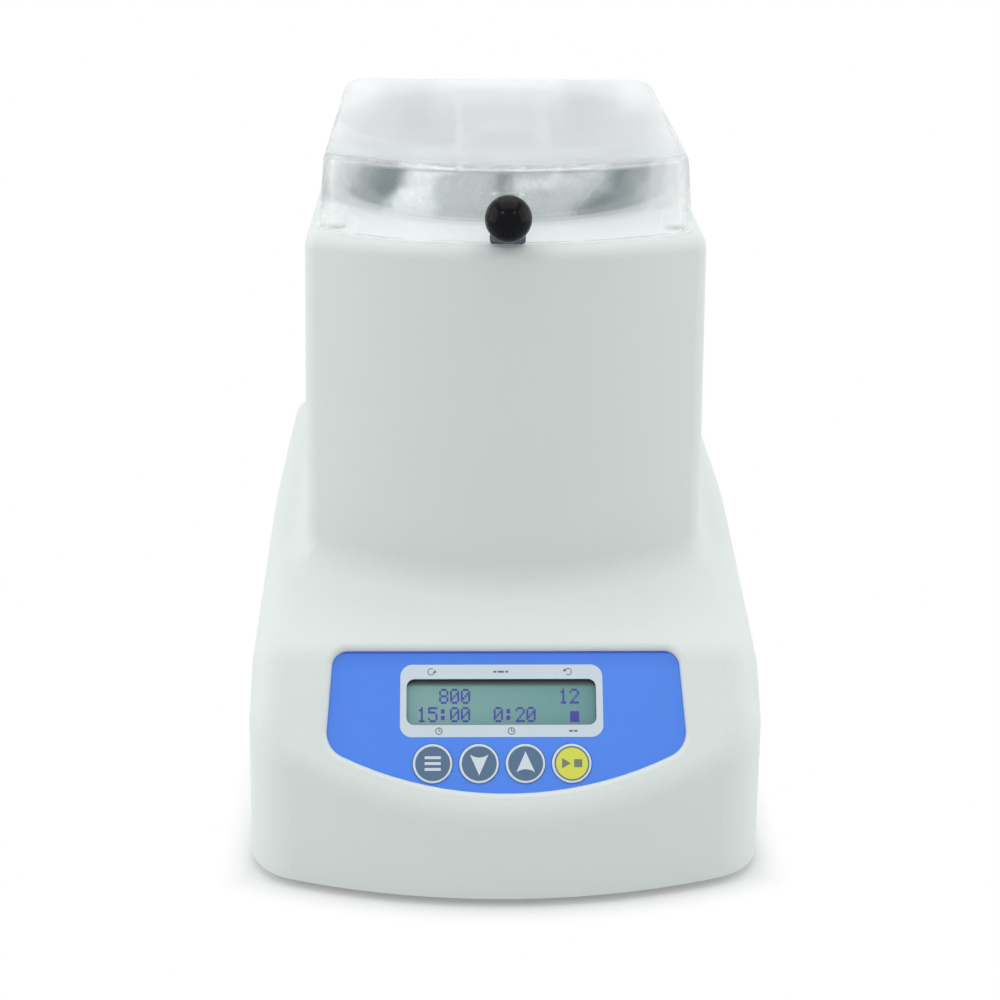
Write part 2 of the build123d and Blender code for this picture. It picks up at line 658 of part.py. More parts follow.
def vibration_dampers():
    """Rubber barrels between the pillars and the motor plate."""
    waist = DAMPER_R - 1.5
    with BuildSketch(Plane.XZ) as half:
        with BuildLine():
            Polyline((SCREW_R + SLIP, 0), (DAMPER_R, 0))
            ThreePointArc((DAMPER_R, 0), (waist, DAMPER_HEIGHT / 2), (DAMPER_R, DAMPER_HEIGHT))
            Polyline((DAMPER_R, DAMPER_HEIGHT), (SCREW_R + SLIP, DAMPER_HEIGHT), (SCREW_R + SLIP, 0))
        make_face()
    barrel = revolve(half.sketch, Axis.Z)
    return all_of([Pos(x, y, PILLAR_TOP) * barrel for x, y in both_sides(pillar_spots())])


def plate_bolts():
    """Hold the motor plate down on the dampers."""
    tip = PILLAR_TOP - SCREW_LENGTH + 2
    return all_of([screw(BOWL_BOTTOM, tip, x, y) for x, y in both_sides(pillar_spots())])


def pillar_screws():
    tip = FOOT_HEIGHT + SCREW_LENGTH
    return all_of([screw(FOOT_HEIGHT, tip, x, y) for x, y in both_sides(pillar_spots())])


def bearing_cup(z0, z1):
    """A ring that holds one bearing."""
    return post(BEARING_R + BEARING_SEAT, z0, z1) - post(BEARING_R, z0, z1)


def motor_body():
    """The motor's can, open at the top."""
    top = MOTOR_PLATE_BOTTOM - MOTOR_CAP
    can = post(MOTOR_R, MOTOR_BOTTOM, top)
    can = fillet(can.edges().filter_by(GeomType.CIRCLE).sort_by(Axis.Z)[0], 2)
    can -= post(MOTOR_R - MOTOR_WALL, MOTOR_BOTTOM + MOTOR_WALL, top + 1)
    floor = MOTOR_BOTTOM + MOTOR_WALL
    can += bearing_cup(floor, floor + BEARING_WIDTH)
    for angle in range(0, 360, 60):
        vent = block(0, MOTOR_R + 5, -2, 2, ARMATURE_BOTTOM + 2, ARMATURE_TOP - 2)
        can -= Rot(0, 0, angle + 15) * (vent - post(MOTOR_R - 2 * MOTOR_WALL, 0, 100))
    return can


def motor_cap():
    """The motor's upper end plate, screwed to the motor plate."""
    bottom = MOTOR_PLATE_BOTTOM - MOTOR_CAP
    cap = post(MOTOR_R, bottom, MOTOR_PLATE_BOTTOM)
    cap -= post(BEARING_R, bottom - 1, bottom + BEARING_WIDTH - 1)
    cap -= post(MOTOR_CAP_HOLE_R, 0, 100)
    for x, y in motor_screw_spots():
        cap -= post(SCREW_R + SLIP, 0, 100, x, y)
    return cap


def motor_bearings():
    ring = post(BEARING_R, 0, BEARING_WIDTH) - post(SHAFT_R + SLIP, -1, 10)
    lower = MOTOR_BOTTOM + MOTOR_WALL
    upper = MOTOR_PLATE_BOTTOM - MOTOR_CAP - 1
    return all_of([Pos(0, 0, z) * ring for z in (lower, upper)])


def motor_screws():
    seat = BOWL_BOTTOM - SCREW_HEAD - 0.2
    tip = MOTOR_PLATE_BOTTOM - MOTOR_CAP + 0.5
    return all_of([screw(seat, tip, x, y) for x, y in motor_screw_spots()])


# ---------------------------------------------------------------- rotor
def motor_shaft():
    shaft = post(SHAFT_R, MOTOR_BOTTOM + MOTOR_WALL + 0.3, SHAFT_TOP)
    return chamfer(shaft.edges().filter_by(GeomType.CIRCLE).sort_by(Axis.Z)[-1], 0.6)


def motor_armature():
    """Slotted iron core pressed on the shaft."""
    core = post(ARMATURE_R, ARMATURE_BOTTOM, ARMATURE_TOP)
    for i in range(ARMATURE_SLOTS):
        slot = block(ARMATURE_R - 7, ARMATURE_R + 1, -1.2, 1.2,
                     ARMATURE_BOTTOM - 1, ARMATURE_TOP + 1)
        core -= Rot(0, 0, 360 * i / ARMATURE_SLOTS) * slot
    return core - post(SHAFT_R, 0, 100)


def rotor_hub():
    """Column on the shaft with a pad on each side for the plate holders."""
    hub = post(HUB_R, HUB_BOTTOM, HUB_TOP)
    hub = fillet(hub.edges().filter_by(GeomType.CIRCLE), 1)
    web = block(-HUB_PAD_FACE, HUB_PAD_FACE, -HUB_WEB / 2, HUB_WEB / 2, HUB_PAD_BOTTOM, HUB_PAD_TOP)
    hub += web
    for z in HOLDER_SCREW_Z:
        hub += post(HUB_PAD_FACE - HUB_PAD, z - HUB_WEB, z + HUB_WEB)
    for side in (-1, 1):
        edges = sorted((side * HUB_PAD_FACE, side * (HUB_PAD_FACE - HUB_PAD)))
        pad = block(*edges, -HUB_PAD_HALF, HUB_PAD_HALF, HUB_PAD_BOTTOM, HUB_PAD_TOP)
        hub += fillet(pad.edges().filter_by(Axis.X), 4)
    hub -= post(SHAFT_R + SLIP / 2, 0, 300)
    for y, z in holder_screw_spots():
        hub -= rod_x(SCREW_R + SLIP, -HUB_PAD_FACE - 1, HUB_PAD_FACE + 1, y, z)
    return hub


def holder_screw_spots():
    return [(y, z) for y in (-HOLDER_SCREW_Y, HOLDER_SCREW_Y) for z in HOLDER_SCREW_Z]


def plate_holder(side):
    """Open-topped pocket for one plate; side is -1 for the left one and 1 for the right one."""
    x0 = SLOT_INNER - HOLDER_INNER_WALL
    x1 = SLOT_OUTER + HOLDER_WALL
    half = SLOT_HALF + HOLDER_WALL
    pocket = block(x0, x1, -half, half, SLOT_FLOOR - HOLDER_FLOOR, HOLDER_TOP)
    pocket = fillet(pocket.edges().filter_by(Axis.Z).group_by(Axis.X)[-1], HOLDER_CORNER_R)
    pocket = fillet(pocket.edges().group_by(Axis.Z)[0].filter_by(Axis.Y), 1.5)
    room = block(SLOT_INNER, SLOT_OUTER, -SLOT_HALF, SLOT_HALF, SLOT_FLOOR, HOLDER_TOP + 10)
    room = fillet(room.edges().filter_by(Axis.Z).group_by(Axis.X)[-1], HOLDER_CORNER_R - HOLDER_WALL)
    pocket -= room

    middle = (SLOT_FLOOR + HOLDER_TOP) / 2
    pane = Plane.YZ * RectangleRounded(WINDOW_WIDTH, WINDOW_HEIGHT, 3)
    for row in (-1, 0, 1):
        for column in (-1, 0, 1):
            at = Pos(x1 - 2 * HOLDER_WALL, column * WINDOW_PITCH_Y, middle + row * WINDOW_PITCH_Z)
            pocket -= at * extrude(pane, 4 * HOLDER_WALL)
    for y, z in holder_screw_spots():
        pocket -= rod_x(SCREW_R + SLIP, x0 - 1, SLOT_INNER + 1, y, z)
        pocket -= rod_x(SCREW_HEAD_R + ASSEMBLY_GAP, SLOT_INNER - SCREW_HEAD, SLOT_INNER + 1, y, z)
    return pocket if side > 0 else pocket.mirror(Plane.YZ)


def holder_screws():
    """Their heads lie flush in the pockets' inner walls."""
    tip = HUB_PAD_FACE - HUB_PAD
    screws = []
    for y, z in holder_screw_spots():
        upright = screw(SLOT_INNER - SCREW_HEAD, tip, 0, 0, head=SCREW_HEAD - 0.1)
        lying = Pos(0, y, z) * Rot(0, 90, 0) * upright
        screws += [lying, lying.mirror(Plane.YZ)]
    return all_of(screws)


def rotor_nut():
    """Grooved thumb nut that clamps the rotor on the shaft."""
    nut = post(NUT_R, HUB_TOP, HUB_TOP + NUT_HEIGHT)
    nut = fillet(nut.edges().filter_by(GeomType.CIRCLE).sort_by(Axis.Z)[-1], 1.5)
    for i in range(NUT_GROOVES):
        nut -= Rot(0, 0, 360 * i / NUT_GROOVES) * post(1.2, HUB_TOP - 1, HUB_TOP + 20, NUT_R + 0.4)
    return nut - post(SHAFT_R + SLIP / 2, 0, SHAFT_TOP + 0.2)


# ---------------------------------------------------------------- control panel parts
def control_overlay():
    """Printed sheet in the recess, open for the display and the keys."""
    sheet = in_panel(offset(panel_outline(), -SLIP * 2), PANEL_SUNK, PANEL_SUNK + OVERLAY)
    sheet -= in_panel(rounded(FRAME_CENTRE, FRAME_SIZE, FRAME_R, SLIP), 0, 10)
    for hole in at_keys(Circle(KEY_R + KEY_GAP)):
        sheet -= in_panel(hole, 0, 10)
    return sheet


def display_window():
    """Frame around the display; its skirt holds the glass down."""
    frame = in_panel(rounded(FRAME_CENTRE, FRAME_SIZE, FRAME_R), PANEL_SUNK, PANEL_SUNK + OVERLAY)
    skirt = rounded(WINDOW_CENTRE, WINDOW_SIZE, WINDOW_R, WINDOW_SKIRT)
    frame += in_panel(skirt, PANEL_SUNK, PANEL_SUNK + GLASS_SUNK)
    return frame - in_panel(rounded(WINDOW_CENTRE, WINDOW_SIZE, WINDOW_R), 0, 10)


def display_glass():
    pane = rounded(WINDOW_CENTRE, WINDOW_SIZE, WINDOW_R, WINDOW_SKIRT)
    return in_panel(pane, PANEL_SUNK + GLASS_SUNK, BACKING_REAR)


def display_board():
    outline = Pos(WINDOW_CENTRE[0], DISPLAY_BOARD_UP) * Rectangle(*DISPLAY_BOARD_SIZE)
    return in_panel(outline, BACKING_REAR, BACKING_REAR + BOARD)


def key(x):
    """One key: face, guide, the flange that keeps it in, and the stem over its switch."""
    at = Pos(x, KEY_UP)
    cap = in_panel(at * Circle(KEY_R), KEY_TOP, BACKING_REAR)
    face = cap.faces().filter_by(GeomType.PLANE).sort_by(Axis.Z)[-1]
    cap = fillet(face.edges(), 0.4)
    cap += in_panel(at * Circle(KEY_FLANGE_R), BACKING_REAR, BACKING_REAR + KEY_FLANGE)
    return cap + in_panel(at * Circle(KEY_STEM_R), BACKING_REAR, KEY_STEM_END)


def key_switches():
    body_front = KEY_BOARD_FRONT - SWITCH_HEIGHT
    switches = []
    bodies = at_keys(Rectangle(SWITCH_SIZE, SWITCH_SIZE))
    for body, plunger in zip(bodies, at_keys(Circle(SWITCH_PLUNGER_R))):
        switch = in_panel(body, body_front, KEY_BOARD_FRONT)
        switches.append(switch + in_panel(plunger, body_front - SWITCH_PLUNGER, body_front))
    return all_of(switches)


def key_board():
    outline = Pos(KEY_BOARD_X, KEY_UP) * Rectangle(*KEY_BOARD_SIZE)
    return in_panel(outline, KEY_BOARD_FRONT, KEY_BOARD_FRONT + BOARD)


def key_pillars():
    """Spacers that carry the key board behind the console."""
    pillar = Circle(KEY_PILLAR_R)
    spots = GridLocations(2 * KEY_PILLAR_X, 2 * KEY_PILLAR_UP, 2, 2)
    at = Pos(KEY_BOARD_X, KEY_UP)
    return all_of([in_panel(at * spot * pillar, BACKING_REAR, KEY_BOARD_FRONT) for spot in spots])


# ---------------------------------------------------------------- electronics and rear wall
def board_pillar_spots():
    x = MAIN_BOARD_HALF - BOARD_PILLAR_INSET
    ys = (MAIN_BOARD_FRONT + BOARD_PILLAR_INSET, MAIN_BOARD_BACK - BOARD_PILLAR_INSET)
    return both_sides([(x, y) for y in ys])


def main_board():
    board = block(-MAIN_BOARD_HALF, MAIN_BOARD_HALF, MAIN_BOARD_FRONT, MAIN_BOARD_BACK,
                  MAIN_BOARD_Z, MAIN_BOARD_Z + BOARD)
    return fillet(board.edges().filter_by(Axis.Z), 2)


def board_pillars():
    return all_of([post(BOARD_PILLAR_R, PLATE_TOP, MAIN_BOARD_Z, *spot) for spot in board_pillar_spots()])


def board_parts():
    """Capacitors, a finned heat sink and a connector on the main board."""
    top = MAIN_BOARD_Z + BOARD
    rear = MAIN_BOARD_BACK - PART_INSET
    parts = [post(CAPACITOR_R, top, top + CAPACITOR_HEIGHT, x, rear) for x in CAPACITOR_XS]

    width, depth, height = HEAT_SINK_SIZE
    x0 = MAIN_BOARD_HALF - PART_INSET - width
    sink = block(x0, x0 + width, rear - depth, rear, top, top + HEAT_SINK_FLOOR)
    pitch = (depth - HEAT_SINK_FIN) / (HEAT_SINK_FINS - 1)
    for i in range(HEAT_SINK_FINS):
        fin_y = rear - depth + i * pitch
        sink += block(x0, x0 + width, fin_y, fin_y + HEAT_SINK_FIN, top, top + height)

    width, depth, height = CONNECTOR_SIZE
    x0 = -MAIN_BOARD_HALF + PART_INSET
    front = MAIN_BOARD_FRONT + PART_INSET
    return all_of(parts + [sink, block(x0, x0 + width, front, front + depth, top, top + height)])


def dc_inlet():
    """Round low-voltage socket in the rear wall."""
    body = rod_y(INLET_FLANGE_R, BASE_BACK, BASE_BACK + INLET_FLANGE, INLET_X, REAR_SOCKET_Z)
    body += rod_y(INLET_R, BASE_BACK - INLET_DEPTH, BASE_BACK, INLET_X, REAR_SOCKET_Z)
    body -= rod_y(INLET_BORE_R, BASE_BACK - INLET_DEPTH + 3, BASE_BACK + 5, INLET_X, REAR_SOCKET_Z)
    return body + rod_y(INLET_PIN_R, BASE_BACK - INLET_DEPTH + 3, BASE_BACK, INLET_X, REAR_SOCKET_Z)


def inlet_nut():
    ring = Plane.XZ * RegularPolygon(INLET_NUT_R, 6)
    nut = Pos(INLET_X, REAR_INNER, REAR_SOCKET_Z) * extrude(ring, INLET_NUT)
    return nut - rod_y(INLET_R + SLIP, REAR_INNER - 10, REAR_INNER + 10, INLET_X, REAR_SOCKET_Z)


def switch_body_half():
    wall = SWITCH_BODY_WALL + MOVING_GAP
    return ROCKER_WIDTH / 2 + wall, ROCKER_HEIGHT / 2 + wall


def switch_frame():
    """Bezel and body of the power switch, with a seat for the rocker's pivot."""
    half_w, half_h = switch_body_half()
    body = block(-half_w, half_w, BASE_BACK - SWITCH_BODY_DEPTH, BASE_BACK, -half_h, half_h)
    bezel = block(-half_w - BEZEL, half_w + BEZEL, BASE_BACK, BASE_BACK + BEZEL_PROUD,
                  -half_h - BEZEL, half_h + BEZEL)
    body += fillet(bezel.edges().filter_by(Axis.Y), 1.5)
    room_w, room_h = half_w - SWITCH_BODY_WALL, half_h - SWITCH_BODY_WALL
    body -= block(-room_w, room_w, BASE_BACK - SWITCH_BODY_DEPTH + SWITCH_BODY_WALL, BASE_BACK + 5,
                  -room_h, room_h)
    body -= rod_x(ROCKER_PIVOT_R + SLIP, -room_w - 0.7, room_w + 0.7, BASE_BACK - ROCKER_PIVOT_DEPTH, 0)
    return Pos(SWITCH_X, 0, REAR_SOCKET_Z) * body


def power_rocker():
    """Rocker with a hollow V-shaped face; its lower half is pressed."""
    pivot_y = BASE_BACK - ROCKER_PIVOT_DEPTH
    half = ROCKER_HEIGHT / 2 - 1.0
    tilt = tan(radians(ROCKER_SWING / 2))
    face = ROCKER_PIVOT_DEPTH + BEZEL_PROUD
    with BuildSketch(Plane.YZ) as side:
        with BuildLine():
            Polyline(
                (-4, -4), (face - 1.5 - half * tilt, -half),
                (face + half * tilt, -half), (face, 0),
                (face + half * tilt, half), (face - 1.5 - half * tilt, half), (-4, 4), close=True,
            )
        make_face()
    rocker = extrude(side.sketch, ROCKER_WIDTH / 2, both=True)
    pins = rod_x(ROCKER_PIVOT_R, -ROCKER_WIDTH / 2 - 0.8, ROCKER_WIDTH / 2 + 0.8, 0, 0)
    rocker = Rot(-ROCKER_SWING / 2, 0, 0) * (rocker + pins)
    return Pos(SWITCH_X, pivot_y, REAR_SOCKET_Z) * rocker


def lid_sensor():
    """Magnet switch under the top of the tower."""
    x, y = MAGNET_SPOT
    w, d, h = SENSOR_SIZE
    top = TOWER_TOP - TOP_WALL
    return block(x - w / 2, x + w / 2, y - d / 2, y + d / 2, top - h, top)


# ---------------------------------------------------------------- hinges
def knuckle_spans(centre):
    """The x limits of the three knuckles: left, middle and right."""
    third = HINGE_WIDTH / 6
    edges = (-HINGE_WIDTH / 2, -third - MOVING_GAP / 2, -third + MOVING_GAP / 2,
             third - MOVING_GAP / 2, third + MOVING_GAP / 2, HINGE_WIDTH / 2)
    xs = [centre + e for e in edges]
    return (xs[0], xs[1]), (xs[2], xs[3]), (xs[4], xs[5])


def bracket_screw_spots():
    z = BRACKET_BOTTOM + 6
    return [(c + s * HINGE_SCREW_OFFSET, z) for c in HINGE_CENTRES for s in (-1, 1)]


def leaf_screw_spots():
    z = (LID_LEAF_BOTTOM + LID_LEAF_TOP) / 2 + 2
    return [(c + s * HINGE_SCREW_OFFSET, z) for c in HINGE_CENTRES for s in (-1, 1)]


def hinge_brackets():
    """Fixed leaves on the rear wall, each with two knuckles."""
    brackets = []
    for centre in HINGE_CENTRES:
        left, _, right = knuckle_spans(centre)
        leaf = block(left[0], right[1], BASE_BACK, BASE_BACK + LEAF, BRACKET_BOTTOM, HINGE_Z)
        leaf = fillet(leaf.edges().filter_by(Axis.Y).group_by(Axis.Z)[0], 3)
        for span in (left, right):
            leaf += rod_x(KNUCKLE_R, *span, HINGE_Y, HINGE_Z)
        room = KNUCKLE_R + 2 * MOVING_GAP
        leaf -= block(left[1], right[0], BASE_BACK - 1, BASE_BACK + 20,
                      HINGE_Z - room, HINGE_Z + room)
        brackets.append(leaf - rod_x(PIN_R + SLIP, left[0] - 1, right[1] + 1, HINGE_Y, HINGE_Z))
    group = all_of(brackets)
    for x, z in bracket_screw_spots():
        group -= rod_y(HINGE_SCREW_R + SLIP, BASE_BACK - 1, BASE_BACK + LEAF + 1, x, z)
    return all_of([group])


def hinge_leaves():
    """Moving leaves on the lid's back, each with one knuckle between the fixed two."""
    leaves = []
    half = HINGE_WIDTH / 2 - 1
    for centre in HINGE_CENTRES:
        _, middle, _ = knuckle_spans(centre)
        leaf = block(centre - half, centre + half, LID_BACK, LID_BACK + LEAF,
                     LID_LEAF_BOTTOM, LID_LEAF_TOP)
        leaf = fillet(leaf.edges().filter_by(Axis.Y), 2.5)
        top = HINGE_Z + KNUCKLE_R
        leaf += block(*middle, LID_BACK, HINGE_Y, top - LEAF, top)
        leaf += rod_x(KNUCKLE_R, *middle, HINGE_Y, HINGE_Z)
        leaves.append(leaf - rod_x(PIN_R, middle[0] - 1, middle[1] + 1, HINGE_Y, HINGE_Z))
    group = all_of(leaves)
    for x, z in leaf_screw_spots():
        group -= rod_y(HINGE_SCREW_R + SLIP, LID_BACK - 1, LID_BACK + LEAF + 1, x, z)
    return all_of([group])


def hinge_pins():
    """Pressed into the moving knuckles; they turn in the fixed ones."""
    pins = []
    half = HINGE_WIDTH / 2 + MOVING_GAP
    for centre in HINGE_CENTRES:
        pin = rod_x(PIN_R, centre - half, centre + half, HINGE_Y, HINGE_Z)
        for side in (-1, 1):
            ends = sorted((centre + side * half, centre + side * (half + PIN_HEAD)))
            pin += rod_x(PIN_HEAD_R, *ends, HINGE_Y, HINGE_Z)
        pins.append(pin)
    return all_of(pins)


def hinge_screw(x, z, face, tip):
    shank = rod_y(HINGE_SCREW_R, tip, face, x, z)
    return shank + rod_y(HINGE_SCREW_HEAD_R, face, face + HINGE_SCREW_HEAD, x, z)


def bracket_screws():
    face = BASE_BACK + LEAF
    return all_of([hinge_screw(x, z, face, REAR_INNER - 1) for x, z in bracket_screw_spots()])


def leaf_screws():
    face = LID_BACK + LEAF
    tip = LID_BACK - LID_WALL - HINGE_PAD + 0.2
    return all_of([hinge_screw(x, z, face, tip) for x, z in leaf_screw_spots()])


# ---------------------------------------------------------------- lid
def lid_cavity():
    return lid_form(LID_WALL, LID_BOTTOM - 1, LID_TOP - LID_TOP_WALL, LID_EDGE_R - LID_WALL)


def lid():
    outer = lid_form(0, LID_BOTTOM, LID_TOP, LID_EDGE_R)
    body = outer - lid_cavity()
    for x, y in both_sides(BUFFER_SPOTS) + [MAGNET_SPOT]:
        body += post(LID_BOSS_R, LID_BOTTOM, LID_BOTTOM + LID_BOSS_HEIGHT, x, y) & outer
    inner_back = LID_BACK - LID_WALL
    for centre in HINGE_CENTRES:
        half = HINGE_WIDTH / 2
        body += block(centre - half, centre + half, inner_back - HINGE_PAD, inner_back + 0.5,
                      LID_LEAF_BOTTOM, LID_TOP - 1)
    x, y = MAGNET_SPOT
    body -= post(MAGNET_R + SLIP, LID_BOTTOM - 1, LID_BOTTOM + MAGNET_HEIGHT, x, y)
    body -= rod_y(STUD_R + SLIP, -LID_FRONT - 10, -LID_FRONT + 10, 0, KNOB_Z)
    for x, z in leaf_screw_spots():
        body -= rod_y(HINGE_SCREW_R + SLIP, inner_back - 5, LID_BACK + 5, x, z)
    return body


def knob_pad():
    """Clear block between the lid's bowed front and the knob."""
    half = KNOB_PAD_WIDTH / 2
    pad = block(-half, half, KNOB_PAD_FRONT, -LID_FRONT + 8,
                KNOB_PAD_Z - KNOB_PAD_HEIGHT / 2, KNOB_PAD_Z + KNOB_PAD_HEIGHT / 2)
    pad = fillet(pad.edges().filter_by(Axis.Y), 1.2)
    pad -= lid_form(0, LID_BOTTOM - 5, LID_TOP, LID_EDGE_R)
    return pad - rod_y(STUD_R + SLIP, KNOB_PAD_FRONT - 5, -LID_FRONT + 10, 0, KNOB_Z)


def ball_knob():
    ball = Pos(0, KNOB_Y, KNOB_Z) * Sphere(KNOB_R)
    ball -= block(-20, 20, KNOB_PAD_FRONT, KNOB_PAD_FRONT + 20, KNOB_Z - 20, KNOB_Z + 20)
    return ball - rod_y(STUD_R + SLIP, KNOB_Y - 1, 0, 0, KNOB_Z)


def knob_stud():
    """Screw through the lid, with its head inside the wall."""
    stud = rod_y(STUD_R, KNOB_Y, STUD_HEAD_END, 0, KNOB_Z)
    head = rod_y(STUD_HEAD_R, -LID_FRONT + 1, STUD_HEAD_END, 0, KNOB_Z)
    return stud + (head & lid_cavity())


def lid_magnet():
    x, y = MAGNET_SPOT
    return post(MAGNET_R, LID_BOTTOM, LID_BOTTOM + MAGNET_HEIGHT, x, y)


# ---------------------------------------------------------------- every piece by name
def pieces():
    built = {make.__name__: make for make in (
        housing, bottom_plate, rubber_feet, case_screws, lid_buffers,
        chamber_bowl, bowl_collar, bowl_screws, shaft_seal,
        motor_plate, motor_pillars, vibration_dampers, plate_bolts, pillar_screws,
        motor_body, motor_cap, motor_bearings, motor_screws,
        motor_shaft, motor_armature, rotor_hub, holder_screws, rotor_nut,
        control_overlay, display_window, display_glass, display_board,
        key_switches, key_board, key_pillars, main_board, board_pillars, board_parts,
        dc_inlet, inlet_nut, switch_frame, power_rocker, lid_sensor,
        hinge_brackets, hinge_leaves, hinge_pins, bracket_screws, leaf_screws,
        lid, knob_pad, ball_knob, knob_stud, lid_magnet,
    )}
    for name, make in built.items():
        yield name, make()
    yield "left_plate_holder", plate_holder(-1)
    yield "right_plate_holder", plate_holder(1)
    for name, x in zip(KEY_NAMES, KEY_XS):
        yield name, key(x)


for name, piece in pieces():
    export_step(Pos(0, ORIGIN_Y, 0) * piece, f"parts/{name}.step")
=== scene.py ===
# %% [markdown]
# # A bench-top plate centrifuge
#
# The imported model is the skeleton of this scene: every rigid piece arrives at its real size and in
# its real place. What is left for Blender is the finish of each surface, the print on the control
# panel, the characters on the display, and the studio.

# %% Load the imported model
import bpy
import bmesh
import json
from math import atan2, cos, degrees, pi, radians, sin
from mathutils import Matrix, Vector


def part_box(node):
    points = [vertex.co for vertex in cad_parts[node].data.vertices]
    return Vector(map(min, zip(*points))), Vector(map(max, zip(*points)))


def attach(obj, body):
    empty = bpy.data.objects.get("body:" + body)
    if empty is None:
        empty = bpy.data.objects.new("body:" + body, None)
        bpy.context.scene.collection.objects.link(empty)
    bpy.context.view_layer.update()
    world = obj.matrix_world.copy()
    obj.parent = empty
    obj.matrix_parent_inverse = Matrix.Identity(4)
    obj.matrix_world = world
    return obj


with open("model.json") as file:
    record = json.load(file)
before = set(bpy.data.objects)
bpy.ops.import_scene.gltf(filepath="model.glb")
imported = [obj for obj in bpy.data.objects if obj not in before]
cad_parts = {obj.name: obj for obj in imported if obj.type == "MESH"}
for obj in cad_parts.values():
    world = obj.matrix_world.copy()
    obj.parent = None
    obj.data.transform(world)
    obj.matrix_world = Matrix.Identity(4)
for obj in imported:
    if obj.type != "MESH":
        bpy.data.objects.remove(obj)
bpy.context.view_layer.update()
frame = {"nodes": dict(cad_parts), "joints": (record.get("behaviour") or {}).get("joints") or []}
nodes = frame["nodes"]
MM = 0.001


def add(name, data):
    """Put a new object into the scene."""
    thing = bpy.data.objects.new(name, data)
    bpy.context.scene.collection.objects.link(thing)
    return thing


# %% [markdown]
# ## Camera
#
# The photograph was taken from in front and above, about 60 cm from the control panel. The edges of
# the tower, which are straight and nearly upright on the real thing, fix the lens and the tilt. A
# camera could be aimed by a constraint, but a matrix holds the small roll of the picture as well.
# Blender's camera looks along its own -Z, so the matrix has the viewing direction, reversed, in its
# third column.

# %% Place the camera
CAMERA_AT = Vector((-15.9, -629.55, 356.0)) * MM
CAMERA_YAW, CAMERA_DOWN, CAMERA_ROLL = radians(1.406), radians(22.618), radians(0.556)
CAMERA_LENS, SENSOR_WIDTH = 67.15, 36            # mm

forward = Vector((
    sin(CAMERA_YAW) * cos(CAMERA_DOWN),
    cos(CAMERA_YAW) * cos(CAMERA_DOWN),
    -sin(CAMERA_DOWN),
))
level = Vector((cos(CAMERA_YAW), -sin(CAMERA_YAW), 0))
upward = level.cross(forward)
right = level * cos(CAMERA_ROLL) + upward * sin(CAMERA_ROLL)
above = upward * cos(CAMERA_ROLL) - level * sin(CAMERA_ROLL)
axes = Matrix((right, above, -forward)).transposed()

camera = add("camera", bpy.data.cameras.new("camera"))
camera.data.lens = CAMERA_LENS
camera.data.sensor_width = SENSOR_WIDTH
camera.matrix_world = Matrix.Translation(CAMERA_AT) @ axes.to_4x4()
bpy.context.scene.camera = camera
print("camera looks", round(degrees(CAMERA_DOWN), 1), "degrees down")

# %% [markdown]
# ## Writing materials as expressions
#
# A material is a network of nodes, which soon becomes hard to read as code. `Value` wraps one
# output of a node and gives it the usual operators, so that `1 - mask * 0.4` adds the Math nodes
# that it needs.

# %% The socket wrapper
class Value:
    """One output of a node that can be used in Python sums."""

    def __init__(self, network, node, output=0):
        self.network, self.node = network, node
        self.socket = node.outputs[output]

    def out(self, name):
        """Another output of the same node."""
        return Value(self.network, self.node, name)

    def math(self, operation, other=0.0, before=None):
        """A Math node with this value first, or second where another comes before it."""
        inputs = {0: self, 1: other} if before is None else {0: before, 1: self}
        return self.network.node("Math", inputs, operation=operation)

    def around(self, mean, spread):
        """Turn noise from 0 to 1 into a value that strays from a mean, spread wide in all."""
        return self * spread + (mean - spread / 2)

    def __add__(self, other):
        return self.math("ADD", other)

    def __sub__(self, other):
        return self.math("SUBTRACT", other)

    def __rsub__(self, other):
        return self.math("SUBTRACT", before=other)

    def __mul__(self, other):
        return self.math("MULTIPLY", other)

    def __gt__(self, other):
        return self.math("GREATER_THAN", other)

    def __lt__(self, other):
        return self.math("LESS_THAN", other)

    __radd__, __rmul__ = __add__, __mul__


# %% [markdown]
# `Network` holds the nodes of one material, or of the world. Its `node` method adds any node. The
# few others only save writing for the vector maths, the mixing of shaders and the last link.

# %% The network
class Network:
    """The nodes of one material, or of the world."""

    def __init__(self, name, kind="Material"):
        self.block = getattr(bpy.data, kind.lower() + "s").new(name)
        self.block.use_nodes = True
        self.tree = self.block.node_tree
        self.tree.nodes.clear()
        self.output = self.tree.nodes.new("ShaderNodeOutput" + kind)

    def node(self, kind, inputs=None, stops=None, **settings):
        """Add a node: first its settings, then a ramp's stops, then what its sockets get."""
        node = self.tree.nodes.new("ShaderNode" + kind)
        for key, value in settings.items():
            setattr(node, key, value)
        for i, (place, colour) in enumerate(stops or []):
            elements = node.color_ramp.elements
            element = elements[i] if i < 2 else elements.new(place)
            element.position, element.color = place, (*colour, 1)
        for key, value in (inputs or {}).items():
            socket = node.inputs[key]
            if isinstance(value, Value):
                self.tree.links.new(value.socket, socket)
            else:
                socket.default_value = (*value, 1) if socket.type == "RGBA" else value
        return Value(self, node)

    def vector(self, operation, a, b=None):
        """Vector maths: a vector, or one number from a product, a length or a distance."""
        inputs = {0: a} if b is None else {0: a, 1: b}
        node = self.node("VectorMath", inputs, operation=operation)
        return node.out("Value") if operation in ("DOT_PRODUCT", "LENGTH", "DISTANCE") else node

    def mix(self, share, a, b):
        """Shader a where the share is 0 and shader b where it is 1."""
        return self.node("MixShader", {0: share, 1: a, 2: b})

    def finished(self, shader):
        """Link a shader to the output, and give back the material or the world."""
        self.tree.links.new(shader.socket, self.output.inputs["Surface"])
        return self.block


